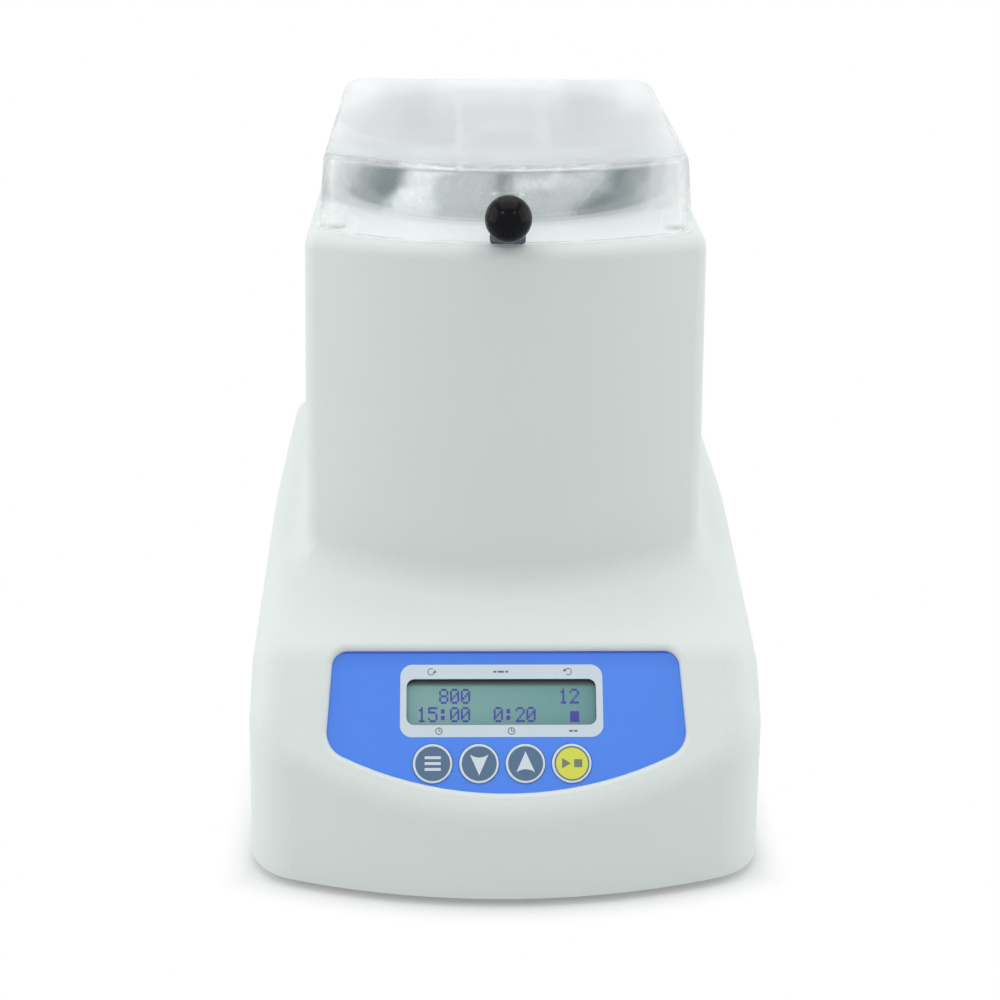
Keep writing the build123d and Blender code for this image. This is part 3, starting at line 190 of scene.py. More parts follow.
# %% [markdown]
# `Finish` is a material for this object, with the few steps that nearly every finish needs: a place
# on the object, some noise, a blend of two colours. They measure the object in its own metres, so a
# pattern keeps its real size on every piece and stays with the piece when it moves.

# %% The material
class Finish(Network):
    """A material whose patterns are measured on the object."""

    def place(self):
        """The point's place on the object, in metres."""
        return self.node("TexCoord").out("Object")

    def along(self, axis):
        """The point's X, Y or Z."""
        return self.node("SeparateXYZ", {0: self.place()}).out(axis)

    def noise(self, size_mm, detail=2.0, stretch=(1, 1, 1), lift=0.0):
        """Noise from 0 to 1 whose blotches are about size_mm across."""
        inputs = {"Vector": self.place(), "Scale": stretch, "Location": (lift, lift, lift)}
        at = self.node("Mapping", inputs)
        return self.node("TexNoise", {"Vector": at, "Scale": 1 / (size_mm * MM), "Detail": detail})

    def blend(self, mask, a, b, blend_type="MIX"):
        """Colour a where the mask is 0 and colour b where it is 1."""
        inputs = {0: mask, 6: a, 7: b}
        return self.node("Mix", inputs, data_type="RGBA", blend_type=blend_type).out(2)

    def bump(self, height, depth_mm):
        """A soft relief from a height of 0 to 1."""
        return self.node("Bump", {"Height": height, "Distance": depth_mm * MM})

    def ramp(self, value, start, end, low=0.0):
        """The value low up to the start, 1 from the end on, and a straight line between."""
        inputs = {"Value": value, "From Min": start, "From Max": end, "To Min": low}
        return self.node("MapRange", inputs)

    def surface(self, **sockets):
        """The Principled shader; underscores in a socket's name stand for spaces."""
        inputs = {name.replace("_", " "): value for name, value in sockets.items()}
        return self.finished(self.node("BsdfPrincipled", inputs))


# %% [markdown]
# `dress` gives a finish to some nodes, in place of the plain material that they were packed with.

# %% Dressing the nodes
def shade(colour, share):
    """A colour made darker, or lighter where the share is over 1."""
    return tuple(channel * share for channel in colour)


def dress(material, *names):
    """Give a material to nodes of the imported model."""
    for name in names:
        mesh = nodes[name].data
        mesh.materials.clear()
        mesh.materials.append(material)
    print(material.name, "on", ", ".join(names))


# %% [markdown]
# ## Moulded housing
#
# The housing is injection-moulded in a cool, slightly green white, from a mould with a fine spark
# texture. Up close that texture is a field of soft bumps about a millimetre across. A picture of
# such a texture would need unwrapping and would show a seam at the tower's foot, so noise in the
# object's own space is used. It breaks the highlights up, so it goes to the normal and, a little,
# to the roughness; the colour hardly changes.

# %% Housing white
HOUSING_WHITE = (0.712, 0.752, 0.742)
CLOUD_MM = 38


def moulded(name, colour, roughness=0.5, grain_mm=1.1, depth_mm=0.03, uneven=0.03):
    """Moulded plastic, rubber or lacquer: a fine grain, and a colour that drifts a little."""
    finish = Finish(name)
    grain = finish.noise(grain_mm, detail=3.0)
    cloud = finish.noise(CLOUD_MM, lift=3.0)
    return finish.surface(
        Base_Color=finish.blend(cloud * 0.6 + grain * 0.4, colour, shade(colour, 1 - uneven)),
        Roughness=grain.around(roughness, 0.14),
        Normal=finish.bump(grain, depth_mm),
        Specular_IOR_Level=0.4,
    )


dress(moulded("housing_white", HOUSING_WHITE, grain_mm=1.3, depth_mm=0.08), "housing")

# %% [markdown]
# ## Frosted lid
#
# The lid is clear plastic. Its upright walls are nearly clear, and its flat top is frosted, so the
# bowl below is seen softly under a milky haze. One rough glass shader could do both, but it turns
# the walls speckled and the inside dark. Here three shaders are mixed instead. The first is
# slightly rough clear plastic, and its Alpha lets a share of the view straight through. The second
# is the haze: white that mostly reflects and partly glows through. The third is no surface at all,
# which only the rays towards the lamps meet, so that light still reaches the bowl.

# %% Clear plastic with a haze
HAZE_WHITE = (0.95, 0.96, 0.975)
HAZE_GLOW = 0.3            # share of the haze that glows through
CLEAR_IOR = 1.3
LID_LETS_LIGHT = 0.48      # share of a lamp's light that each wall lets through


def matt(finish, colour):
    """A shader without any shine."""
    inputs = {"Base Color": colour, "Roughness": 1.0, "Specular IOR Level": 0.0}
    return finish.node("BsdfPrincipled", inputs)


def nothing(finish):
    """A surface that isn't there."""
    return finish.node("BsdfTransparent")


def milky(finish, clear_sockets, haze_colour, share):
    """Clear plastic with a share of haze. Lamps shine through it without a hard shadow."""
    sockets = {"Transmission Weight": 1.0, "IOR": CLEAR_IOR, **clear_sockets}
    clear = finish.node("BsdfPrincipled", sockets)
    glow = finish.node("BsdfTranslucent", {"Color": HAZE_WHITE})
    haze = finish.mix(HAZE_GLOW, matt(finish, haze_colour), glow)
    to_lamps = finish.node("LightPath").out("Is Shadow Ray") * LID_LETS_LIGHT
    return finish.finished(finish.mix(to_lamps, finish.mix(share, clear, haze), nothing(finish)))


# %% [markdown]
# The height of a point says whether it belongs to the walls or to the frosted top. A painted
# shade makes the frosting greyer towards the bowed front edge. That edge is an arc, so the
# painted shade follows the distance to the arc's centre.

# %% Lid
LID_BOW = 125 * MM                               # radius of the lid's front
FROST_START, FROST_FULL = 1.2 * MM, 0.3 * MM     # below the top's outer face
FRONT_SHADE_START, FRONT_SHADE_FULL = 40 * MM, 6 * MM     # behind the front
# painted shade: the grey that the frosting turns towards the front edge
FRONT_PAINTED_SHADE = (0.70, 0.73, 0.75)
CLEAR_TINT, CLEAR_TINT_DARK = (0.985, 0.99, 0.99), (0.97, 0.98, 0.98)
WALL_HAZE, WALL_ROUGH, WALL_BARE = 0.06, 0.20, 0.50
TOP_HAZE, TOP_ROUGH, TOP_BARE = 0.57, 0.12, 0.30


def behind_bow(finish, front, bow):
    """How far a point lies behind a front that is an upright arc of radius bow."""
    flat = finish.vector("MULTIPLY", finish.place(), (1, 1, 0))
    return bow - finish.vector("DISTANCE", flat, (0, front + bow, 0))


def lid_plastic():
    finish = Finish("lid_frosted")
    low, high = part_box("lid")
    on_top = finish.ramp(finish.along("Z"), high.z - FROST_START, high.z - FROST_FULL)
    painted_front_shade = finish.ramp(behind_bow(finish, low.y, LID_BOW), FRONT_SHADE_START, FRONT_SHADE_FULL)
    cloud = finish.noise(20, lift=5.0)
    grain = finish.noise(0.8)
    clear = {
        "Base Color": finish.blend(cloud, CLEAR_TINT, CLEAR_TINT_DARK),
        "Roughness": on_top * (TOP_ROUGH - WALL_ROUGH) + WALL_ROUGH + grain * 0.05,
        "Alpha": 1 - (on_top * (TOP_BARE - WALL_BARE) + WALL_BARE),
        "Normal": finish.bump(grain * on_top, 0.004),
    }
    # painted shade: the frosting's haze turns grey towards the front edge
    haze_colour = finish.blend(on_top * painted_front_shade, HAZE_WHITE, FRONT_PAINTED_SHADE)
    share = on_top * (TOP_HAZE - WALL_HAZE) + WALL_HAZE + cloud * 0.03
    return milky(finish, clear, haze_colour, share)


dress(lid_plastic(), "lid")

# %% [markdown]
# The small pad behind the knob is a thick clear block. Thick clear plastic carries the dark of its
# surroundings to its lower edge. That takes many bounces to trace, so the lower edge is given a
# painted dark reflection instead.

# %% Knob pad
PAD_REFLECTED_DARK = (0.10, 0.14, 0.16)
PAD_BARE, PAD_HAZE = 0.3, 0.04
PAD_CLEAR, PAD_REFLECTION_FULL = 7 * MM, 3 * MM           # above the pad's lower edge


def pad_plastic():
    finish = Finish("pad_clear")
    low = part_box("knob_pad")[0]
    # painted reflection: the dark of the surroundings along the pad's lower edge
    lower = finish.ramp(finish.along("Z"), low.z + PAD_CLEAR, low.z + PAD_REFLECTION_FULL)
    smear = finish.noise(6, detail=1.0)
    clear = {
        "Base Color": finish.blend(lower, CLEAR_TINT_DARK, PAD_REFLECTED_DARK),
        "Roughness": smear.around(0.06, 0.04),
        "Alpha": 1 - (1 - lower) * PAD_BARE,
    }
    return milky(finish, clear, HAZE_WHITE, (1 - lower) * PAD_HAZE)


dress(pad_plastic(), "knob_pad")

# %% [markdown]
# ## Bowl of drawn steel
#
# The bowl is deep-drawn stainless steel with a mottled grain. Dull and bright bands side by side up
# its wall are painted reflections of a room that the scene doesn't have. Cards set up around the
# object could be mirrored as bands, but they would show in the lid too. So the painted reflections
# are a colour ramp around the bowl's axis, a little wavy, and leaning on the front half. Inside, two
# dark streaks of painted shadow stand behind the plate holders, and the metal is partly diffuse,
# since light that bounces from wall to wall of a closed mirror is soon lost.

# %% Painted reflections, painted shadow streaks and grain of the bowl
# colours of the painted reflections; DARK is also the painted shadow of the streaks
DARK, DULL = (0.03, 0.03, 0.03), (0.09, 0.125, 0.135)
PLAIN, BRIGHT = (0.53, 0.57, 0.56), (0.82, 0.85, 0.85)
INNER_STEEL = (0.82, 0.83, 0.83)
BOWL_PAINTED_REFLECTIONS = [
    (0.000, PLAIN), (0.100, BRIGHT), (0.200, DULL), (0.280, BRIGHT), (0.345, PLAIN),
    (0.370, DULL), (0.410, DULL), (0.428, BRIGHT), (0.450, BRIGHT), (0.464, PLAIN),
    (0.520, PLAIN), (0.534, BRIGHT), (0.545, BRIGHT), (0.560, PLAIN), (0.605, PLAIN),
    (0.620, DULL), (0.680, DULL), (0.715, BRIGHT), (0.800, PLAIN), (0.900, DULL),
    (1.000, PLAIN),
]
BAND_LEAN = 2.6            # turns for each metre below the rim
BAND_WANDER = 0.09         # turns
STREAK_AT = 32 * MM
STREAK_EDGE, STREAK_CORE = 6.5 * MM, 4 * MM
INSIDE_FROM = 0.8 * MM     # a point this far in from the outer face is on the inner one
INNER_DIFFUSE = 0.6
GRAIN_LIGHT, GRAIN_DARK = (1.15, 1.15, 1.15), (0.75, 0.75, 0.76)


def drawn_steel():
    finish = Finish("bowl_steel")
    low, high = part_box("chamber_bowl")
    away = finish.vector("SUBTRACT", finish.place(), tuple((low + high) / 2))
    x, y, z = (finish.node("SeparateXYZ", {0: away}).out(axis) for axis in "XYZ")
    grain = finish.noise(0.9, detail=3.0, lift=1.0)

    in_front = finish.ramp(y, 10 * MM, -10 * MM)
    lean = (z * -1 + (high.z - low.z) / 2) * in_front * BAND_LEAN
    wander = (finish.noise(11) - 0.5) * BAND_WANDER
    turn = x.math("ARCTAN2", y * -1) * (0.5 / pi) + 0.5 + wander + lean
    # painted reflection: bands by the angle around the bowl's axis
    painted_reflection = finish.node("ValToRGB", {0: turn}, BOWL_PAINTED_REFLECTIONS)
    reflections_and_grain = finish.blend(1.0, painted_reflection, finish.blend(grain, GRAIN_LIGHT, GRAIN_DARK), "MULTIPLY")

    # painted shadow: two dark streaks on the inner wall behind the plate holders
    beside = (x.math("ABSOLUTE") - STREAK_AT).math("ABSOLUTE")
    streak_shadow = finish.ramp(beside, STREAK_EDGE, STREAK_CORE) * (y > 0)
    radius = finish.vector("LENGTH", finish.vector("MULTIPLY", away, (1, 1, 0)))
    inner = radius < (high.x - low.x) / 2 - INSIDE_FROM
    return finish.surface(
        Base_Color=finish.blend(inner, reflections_and_grain, finish.blend(streak_shadow, INNER_STEEL, DARK)),
        Metallic=1 - inner * INNER_DIFFUSE,
        Roughness=grain.around(0.26, 0.2),
        Normal=finish.bump(grain, 0.01),
    )


dress(drawn_steel(), "chamber_bowl")

# %% [markdown]
# ## Turned, milled and plated metal
#
# The rotor is silver-anodised aluminium, the motor's carrier is milled aluminium with its lines
# along one direction, and screws, shaft and hinges are plated or plain steel. They differ in
# colour, roughness and the size and direction of their grain, so one function makes them all.

# %% Rotor, carrier, screws and hinges
METAL_SPREAD = 0.12        # how far the roughness of a metal varies
METAL_DEPTH_MM = 0.004
ROTOR_SILVER, ROTOR_ROUGH = (0.50, 0.51, 0.52), 0.4


def metal(name, colour, roughness, grain_mm=1.6, stretch=(1, 1, 1)):
    """Bare metal with a fine grain and larger, slightly darker patches."""
    finish = Finish(name)
    grain = finish.noise(grain_mm, detail=4.0, stretch=stretch)
    patch = finish.noise(grain_mm * 14)
    return finish.surface(
        Base_Color=finish.blend(grain * 0.5 + patch * 0.5, colour, shade(colour, 0.86)),
        Metallic=1.0,
        Roughness=grain.around(roughness, METAL_SPREAD),
        Normal=finish.bump(grain, METAL_DEPTH_MM),
    )


screw_steel = metal("screw_steel", (0.42, 0.42, 0.41), 0.3, grain_mm=0.8)
hinge_nickel = metal("hinge_nickel", (0.45, 0.45, 0.44), 0.28, grain_mm=1.0)
milled = metal("milled_aluminium", (0.58, 0.59, 0.60), 0.35, grain_mm=1.2, stretch=(1, 6, 1))
laminated = metal("laminated_iron", (0.20, 0.18, 0.17), 0.5, grain_mm=0.5, stretch=(1, 1, 5))
dress(metal("rotor_silver", ROTOR_SILVER, ROTOR_ROUGH), "rotor_hub", "rotor_nut")
dress(screw_steel, "case_screws", "bowl_screws", "plate_bolts", "pillar_screws", "motor_screws",
      "holder_screws", "bracket_screws", "leaf_screws", "knob_stud", "inlet_nut", "motor_shaft",
      "motor_bearings", "lid_magnet")
dress(hinge_nickel, "hinge_brackets", "hinge_leaves", "hinge_pins")
dress(milled, "motor_plate", "motor_pillars", "motor_cap")
dress(laminated, "motor_armature")

# %% [markdown]
# The plate holders are made of the rotor's metal. Their outer walls carry a painted shade, black as
# the shadow in and beside the plate slots, which shows through the lid as two dark uprights. A dark
# mesh of its own could stand for it, but it would be too thin to be seen from the side, so it is a
# mask: it lies where a point's distance from the middle plane is near the holder's outer face.

# %% Plate holders
# painted shade colour on the holders' outer walls
SLOT_SHADE_BLACK = (0.02, 0.02, 0.021)
HOLDER_SHADE_START, HOLDER_SHADE_FULL = 6 * MM, 4 * MM       # inwards from the holder's outer face


def shaded_holder():
    finish = Finish("holder_painted_shade")
    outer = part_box("right_plate_holder")[1].x
    beside = finish.along("X").math("ABSOLUTE")
    # painted shade: black near the holder's outer face
    painted_shade = finish.ramp(beside, outer - HOLDER_SHADE_START, outer - HOLDER_SHADE_FULL)
    grain = finish.noise(1.6, detail=4.0)
    return finish.surface(
        Base_Color=finish.blend(painted_shade, ROTOR_SILVER, SLOT_SHADE_BLACK),
        Metallic=1 - painted_shade,
        Roughness=grain.around(ROTOR_ROUGH, METAL_SPREAD),
        Normal=finish.bump(grain, METAL_DEPTH_MM),
    )


dress(shaded_holder(), "left_plate_holder", "right_plate_holder")

# %% [markdown]
# ## Dark plastics, rubber and boards
#
# These pieces are small or hidden, and each still has the little unevenness that a moulding, a
# rubber part or a lacquered board has. The housing's function makes them, with a finer or a coarser
# grain. The bowl's collar and the lid's buffers are of pale silicone.

# %% Small and hidden pieces
SMALL_PIECES = {
    # finish: (colour, roughness, grain in mm, its depth in mm, unevenness), nodes
    "black_rubber": (((0.030, 0.030, 0.032), 0.75, 0.6, 0.02, 0.3),
                     ["rubber_feet", "shaft_seal", "vibration_dampers"]),
    "pale_silicone": (((0.60, 0.63, 0.62), 0.6, 0.8, 0.02, 0.06),
                      ["bowl_collar", "lid_buffers"]),
    "black_plastic": (((0.028, 0.029, 0.031), 0.42, 0.7, 0.01, 0.25),
                      ["dc_inlet", "switch_frame", "power_rocker", "lid_sensor", "key_switches",
                       "key_pillars", "board_pillars", "board_parts"]),
    "powder_grey": (((0.30, 0.31, 0.32), 0.55, 0.9, 0.03, 0.1), ["bottom_plate"]),
    "motor_black": (((0.04, 0.04, 0.043), 0.4, 1.2, 0.01, 0.2), ["motor_body"]),
    "board_green": (((0.03, 0.16, 0.07), 0.3, 2.5, 0.01, 0.3),
                    ["main_board", "key_board", "display_board"]),
}
for name, (look, pieces) in SMALL_PIECES.items():
    dress(moulded(name, *look), *pieces)

# %% [markdown]
# ## Ball knob
#
# A phenolic ball, polished to a deep gloss. Its only detail is what it reflects, with a trace of
# unevenness from polishing. In a white room a full reflection would turn the black grey, so the
# shader's specular level is low.

# %% Ball knob
KNOB_BLACK = (0.0035, 0.0035, 0.0045)


def polished(name, colour):
    finish = Finish(name)
    smear = finish.noise(5.0)
    return finish.surface(
        Base_Color=finish.blend(smear, colour, shade(colour, 1.6)),
        Roughness=smear.around(0.15, 0.06),
        Specular_IOR_Level=0.08,
    )


dress(polished("knob_black", KNOB_BLACK), "ball_knob")

# %% [markdown]
# ## Control panel
#
# The panel is a printed foil in a shallow recess, 49 degrees steep. Its plane isn't a number to be
# copied: the keys press straight into it, so the axis of their joint is the panel's normal, and
# the foil's own vertices say how high its face lies and where its top edge is.

# %% The panel's plane
PANEL_TOP_MM = 23.2        # the foil's top edge, above the datum that the print is measured from

press = next(joint for joint in frame["joints"] if joint["name"] == "key_up_press")
PANEL_OUT = -Vector(press["axis"]).normalized()
PANEL_UP = PANEL_OUT.cross(Vector((1, 0, 0)))


def reach(name, direction):
    """How far a node reaches along a direction."""
    return max(v.co.dot(direction) for v in nodes[name].data.vertices)


FOIL_FACE = reach("control_overlay", PANEL_OUT)
GLASS_FACE = reach("display_glass", PANEL_OUT)
KEY_FACE = reach("key_up", PANEL_OUT)
DATUM = reach("control_overlay", PANEL_UP) - PANEL_TOP_MM * MM


def on_panel(x, up, face, lift=0.0):
    """A point x mm from the middle and up mm above the datum, lifted mm off one of the faces."""
    across = Vector((x * MM, 0, 0))
    return across + PANEL_UP * (DATUM + up * MM) + PANEL_OUT * (face + lift * MM)


print("panel is", round(degrees(atan2(PANEL_UP.z, PANEL_UP.y)), 1), "degrees steep")

# %% [markdown]
# The print itself is a set of flat shapes a few hundredths of a millimetre thick. A mask in the
# foil's material could draw them too, but dozens of small shapes make a long network. Here each is
# drawn as an outline in the panel's own millimetres and gets a little thickness, so that it stays
# crisp in any view. Each is parented to an empty named after the body that it is printed on.

# %% Printing flat shapes
INK_MM = 0.02


def printed(name, outlines, face, material, body, lift=0.0):
    """Flat shapes of three or four corners as one thin mesh, parented to a body's empty."""
    mesh = bpy.data.meshes.new(name)
    shape = bmesh.new()
    for outline in outlines:
        low = [shape.verts.new(on_panel(x, y, face, lift - INK_MM)) for x, y in outline]
        top = [shape.verts.new(on_panel(x, y, face, lift + INK_MM)) for x, y in outline]
        shape.faces.new(top)
        shape.faces.new(low[::-1])
        for i in range(len(outline)):
            j = (i + 1) % len(outline)
            shape.faces.new((low[i], low[j], top[j], top[i]))
    bmesh.ops.recalc_face_normals(shape, faces=shape.faces)
    shape.to_mesh(mesh)
    shape.free()
    mesh.materials.append(material)
    piece = add(name, mesh)
    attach(piece, body)
    print(name, len(outlines), "shapes")


def bar(x0, x1, y0, y1):
    """A rectangle, as an outline in mm."""
    return [(x0, y0), (x1, y0), (x1, y1), (x0, y1)]


def shifted(outline, x, y):
    """The same outline, moved."""
    return [(px + x, py + y) for px, py in outline]


def ink(name, colour, roughness=0.45):
    """Printing ink, with the faint speckle of a screen print."""
    finish = Finish(name)
    speck = finish.noise(0.9)
    return finish.surface(
        Base_Color=finish.blend(speck, colour, shade(colour, 0.9)),
        Roughness=speck.around(roughness, 0.1),
    )


# %% [markdown]
# ## Display
#
# The display is a liquid-crystal module with two rows of sixteen characters, each made of five by
# seven dots, sunk two millimetres behind its window. A font would give smooth letters. The dots are
# drawn as separate small squares instead, which is what gives this kind of display its look.

# %% Display characters
DOT_SHAPES = {
    "0": "01110 10001 10011 10101 11001 10001 01110",
    "1": "00100 01100 00100 00100 00100 00100 01110",
    "2": "01110 10001 00001 00010 00100 01000 11111",
    "5": "11111 10000 11110 00001 00001 10001 01110",
    "8": "01110 10001 10001 01110 10001 10001 01110",
    ":": "00000 01100 01100 00000 01100 01100 00000",
    "#": "00000 00000 11111 11111 11111 11111 11111",
}
# All in the panel's millimetres.
DOT_PITCH_X, DOT_PITCH_UP = 0.60, 0.72
DOT_SIZE_X, DOT_SIZE_UP = 0.58, 0.69
COLUMN_PITCH, FIRST_COLUMN = 3.57, -29.1
ROW_TOPS = (11.25, 5.15)
CRYSTAL_LIFT_MM = 0.05
CRYSTAL_VIOLET = (0.058, 0.065, 0.40)


def characters(row, column, text):
    """The dots of some text, starting at a column of a row."""
    dots = []
    for k, letter in enumerate(text):
        left = FIRST_COLUMN + (column + k) * COLUMN_PITCH
        for line, pattern in enumerate(DOT_SHAPES[letter].split()):
            top = ROW_TOPS[row] - line * DOT_PITCH_UP
            for i, on in enumerate(pattern):
                if on == "1":
                    x = left + i * DOT_PITCH_X
                    dots.append(bar(x, x + DOT_SIZE_X, top - DOT_SIZE_UP, top))
    return dots


display_dots = characters(0, 2, "800") + characters(0, 13, "12") + characters(1, 0, "15:00")
display_dots += characters(1, 7, "0:20") + characters(1, 14, "#")
printed("display_characters", display_dots, GLASS_FACE, ink("crystal_violet", CRYSTAL_VIOLET, 0.3),
        "base", CRYSTAL_LIFT_MM)

# %% [markdown]
# Behind the characters is the lit green backing, a little brighter towards the left. The window's
# frame throws a shade on its upper edge that soft lamps alone would leave too pale. The shade could
# be a thin dark strip of its own, but a mask by the distance below the upper edge fades out as the
# real one does.

# %% Display glass
GREEN_LEFT, GREEN_RIGHT = (0.205, 0.39, 0.375), (0.125, 0.295, 0.305)
GREEN_SHADE = (0.02, 0.035, 0.035)
GREEN_FADE = (-34 * MM, 30 * MM)                 # from left to right
WINDOW_SHADE = (3.4 * MM, 2.0 * MM)              # below the glass's upper edge


def below_edge(finish, name):
    """How far a point of the panel lies below the upper edge of a node."""
    return reach(name, PANEL_UP) - finish.vector("DOT_PRODUCT", finish.place(), PANEL_UP)


def display_green():
    finish = Finish("display_green")
    lit = finish.blend(finish.ramp(finish.along("X"), *GREEN_FADE), GREEN_LEFT, GREEN_RIGHT)
    shaded = finish.ramp(below_edge(finish, "display_glass"), *WINDOW_SHADE)
    return finish.surface(
        Base_Color=finish.blend(shaded, lit, GREEN_SHADE),
        Roughness=finish.noise(0.5, detail=1.0).around(0.26, 0.08),
        Coat_Weight=0.3,
        Coat_Roughness=0.08,
    )


dress(display_green(), "display_glass")

# %% [markdown]
# The blue overlay and the white window frame are printed polyester foils with a very fine matt
# texture. The overlay is darker along its upper edge, in the shade of its recess, and the walls of
# the window's opening are painted dark as shade, so each foil gets a second colour where its mask
# says.

# %% Overlay and window frame
OVERLAY_BLUE, EDGE_BLUE = (0.072, 0.240, 0.875), (0.008, 0.05, 0.50)
# the frame's white print, and the painted shade on the walls of its opening
FRAME_WHITE, WINDOW_RECESS_SHADE = (0.62, 0.70, 0.78), (0.025, 0.032, 0.032)
WIDE_SHADE, NARROW_SHADE = (7 * MM, 0), (0.9 * MM, 0.4 * MM)     # below the foil's upper edge
RECESS_SHADE_START, RECESS_SHADE_FULL = 0.2 * MM, 0.5 * MM   # below the frame's face


def film(finish, colour):
    """The fine matt surface of a printed film."""
    grain = finish.noise(0.35)
    return finish.surface(
        Base_Color=colour,
        Roughness=grain.around(0.36, 0.12),
        Normal=finish.bump(grain, 0.004),
    )


def foil(name, colour, second, mask):
    finish = Finish(name)
    print_colour = finish.blend(finish.noise(16), colour, shade(colour, 0.93))
    return film(finish, finish.blend(mask(finish), print_colour, second))


def along_top(finish):
    """A wide faint shade under the foil's upper edge, and a narrow strong one."""
    down = below_edge(finish, "control_overlay")
    wide = finish.ramp(down, *WIDE_SHADE)
    narrow = finish.ramp(down, *NARROW_SHADE)
    return wide * 0.25 + narrow * 0.6


def inside_window(finish):
    """Painted shade on the walls of the opening, lower than the frame's face."""
    out = finish.vector("DOT_PRODUCT", finish.place(), PANEL_OUT)
    return finish.ramp(out, FOIL_FACE - RECESS_SHADE_START, FOIL_FACE - RECESS_SHADE_FULL)


dress(foil("overlay_blue", OVERLAY_BLUE, EDGE_BLUE, along_top), "control_overlay")
dress(foil("window_white", FRAME_WHITE, WINDOW_RECESS_SHADE, inside_window), "display_window")

# %% [markdown]
# ## Keys
#
# Each key has a light ring around a coloured disc, and the yellow one also a thin dark line between
# them. The rings could be printed shapes too, but a mask made from the distance to the key's own
# axis needs no mesh and is perfectly round. The vertices of a key's face say where its axis is.

# %% Keys
KEY_DISC_R, KEY_LINE_R = 5.65 * MM, 5.15 * MM
KEY_GREY, KEY_YELLOW = (0.078, 0.145, 0.245), (0.66, 0.68, 0.075)
GREY_KEYS = ("key_mode", "key_down", "key_up")


def key_centre(name):
    """The middle of a key's face."""
    vertices = [v.co for v in nodes[name].data.vertices]
    face = [at for at in vertices if at.dot(PANEL_OUT) > KEY_FACE - 0.1 * MM]
    return sum(face, Vector()) / len(face)


def key_print(name, disc, line_colour=None):
    finish = Finish(name + "_print")
    away = finish.vector("SUBTRACT", finish.place(), key_centre(name))
    along = finish.vector("DOT_PRODUCT", away, PANEL_OUT)
    length = finish.vector("LENGTH", away)
    radius = (length * length - along * along).math("SQRT")
    colour = finish.blend(radius > KEY_DISC_R, disc, FRAME_WHITE)
    if line_colour:
        on_line = (radius > KEY_LINE_R) * (radius < KEY_DISC_R)
        colour = finish.blend(on_line, colour, line_colour)
    return film(finish, colour)


for name in GREY_KEYS:
    dress(key_print(name, KEY_GREY), name)
dress(key_print("key_run", KEY_YELLOW, line_colour=KEY_GREY), "key_run")

# %% [markdown]
# The first key carries three bars, two keys carry arrows with a hollow base, and the last one has
# the usual triangle and square for start and stop. The arrow's outline bends inwards, where one
# face can go wrong, so it is built of narrow triangles that meet at its tip.

# %% Key symbols
KEY_ROW_UP = -13.9                               # mm above the datum
ARROW_HALF, ARROW_TIP, ARROW_FOOT, ARROW_HOLLOW = 3.0, 3.9, -2.9, -1.9
ARROW_STRIPS = 8


def arrow(direction):
    """A tall arrowhead that points up for 1 and down for -1."""
    base = []
    for i in range(ARROW_STRIPS + 1):
        t = 2 * i / ARROW_STRIPS - 1
        y = ARROW_FOOT + (ARROW_HOLLOW - ARROW_FOOT) * (1 - t * t)
        base.append((ARROW_HALF * t, y * direction))
    return [[a, b, (0, ARROW_TIP * direction)] for a, b in zip(base, base[1:])]


symbol_white = ink("symbol_white", (0.66, 0.74, 0.80))
symbol_grey = ink("symbol_grey", (0.16, 0.20, 0.16))
symbols = {
    "key_mode": [bar(-2.6, 2.6, y - 0.45, y + 0.45) for y in (-1.9, 0.0, 1.9)],
    "key_down": arrow(-1),
    "key_up": arrow(1),
    "key_run": [[(-3.2, -1.7), (-0.4, 0.0), (-3.2, 1.7)], bar(0.7, 3.3, -1.3, 1.3)],
}
for name, outlines in symbols.items():
    moved = [shifted(outline, key_centre(name).x / MM, KEY_ROW_UP) for outline in outlines]
    material = symbol_white if name in GREY_KEYS else symbol_grey
    printed(name + "_symbol", moved, KEY_FACE, material, name)

# %% [markdown]
# Around the display, small marks say what each number is: a turning arrow for the speed, a clock
# for each time and a loop for the count, with short dashes between them. Round lines are drawn as
# short four-sided pieces, because a ring is not an outline that one face can fill.

# %% Marks around the display
MARK_LINE, MARK_R, MARK_LIFT_MM = 0.27, 1.2, 0.02
MARKS_ABOVE, MARKS_BELOW = 16.5, -3.2
TURN_SWEEP = 290           # degrees
DASH_HEIGHT, DASH_GAP = 0.62, 0.45


def ring_parts(x, y, start=0, sweep=360, steps=36):
    """A ring or part of one, between two angles in degrees."""
    parts = []
    for i in range(steps):
        a, b = (radians(start + sweep * k / steps) for k in (i, i + 1))
        corners = ((MARK_R - MARK_LINE, a), (MARK_R, a), (MARK_R, b), (MARK_R - MARK_LINE, b))
        parts.append([(x + r * cos(t), y + r * sin(t)) for r, t in corners])
    return parts


def clock(x, y):
    """A ring with two hands."""
    half = MARK_LINE / 2
    minute_hand = bar(x - half, x + half, y, y + MARK_R * 0.72)
    hour_hand = bar(x, x + MARK_R * 0.6, y - half, y + half)
    return ring_parts(x, y) + [minute_hand, hour_hand]


def turning(x, y, start=60):
    """Most of a ring, with an arrowhead at its end."""
    end = radians(start + TURN_SWEEP)
    head = [(-0.65, -0.1), (0.6, -0.1), (0.05, 0.85)]
    head = shifted(head, x + MARK_R * cos(end), y + MARK_R * sin(end))
    return ring_parts(x, y, start, TURN_SWEEP, 28) + [head]


def dashes(x, y, widths):
    """Short bars in a row, from x on."""
    shapes = []
    for width in widths:
        shapes.append(bar(x, x + width, y - DASH_HEIGHT / 2, y + DASH_HEIGHT / 2))
        x += width + DASH_GAP
    return shapes


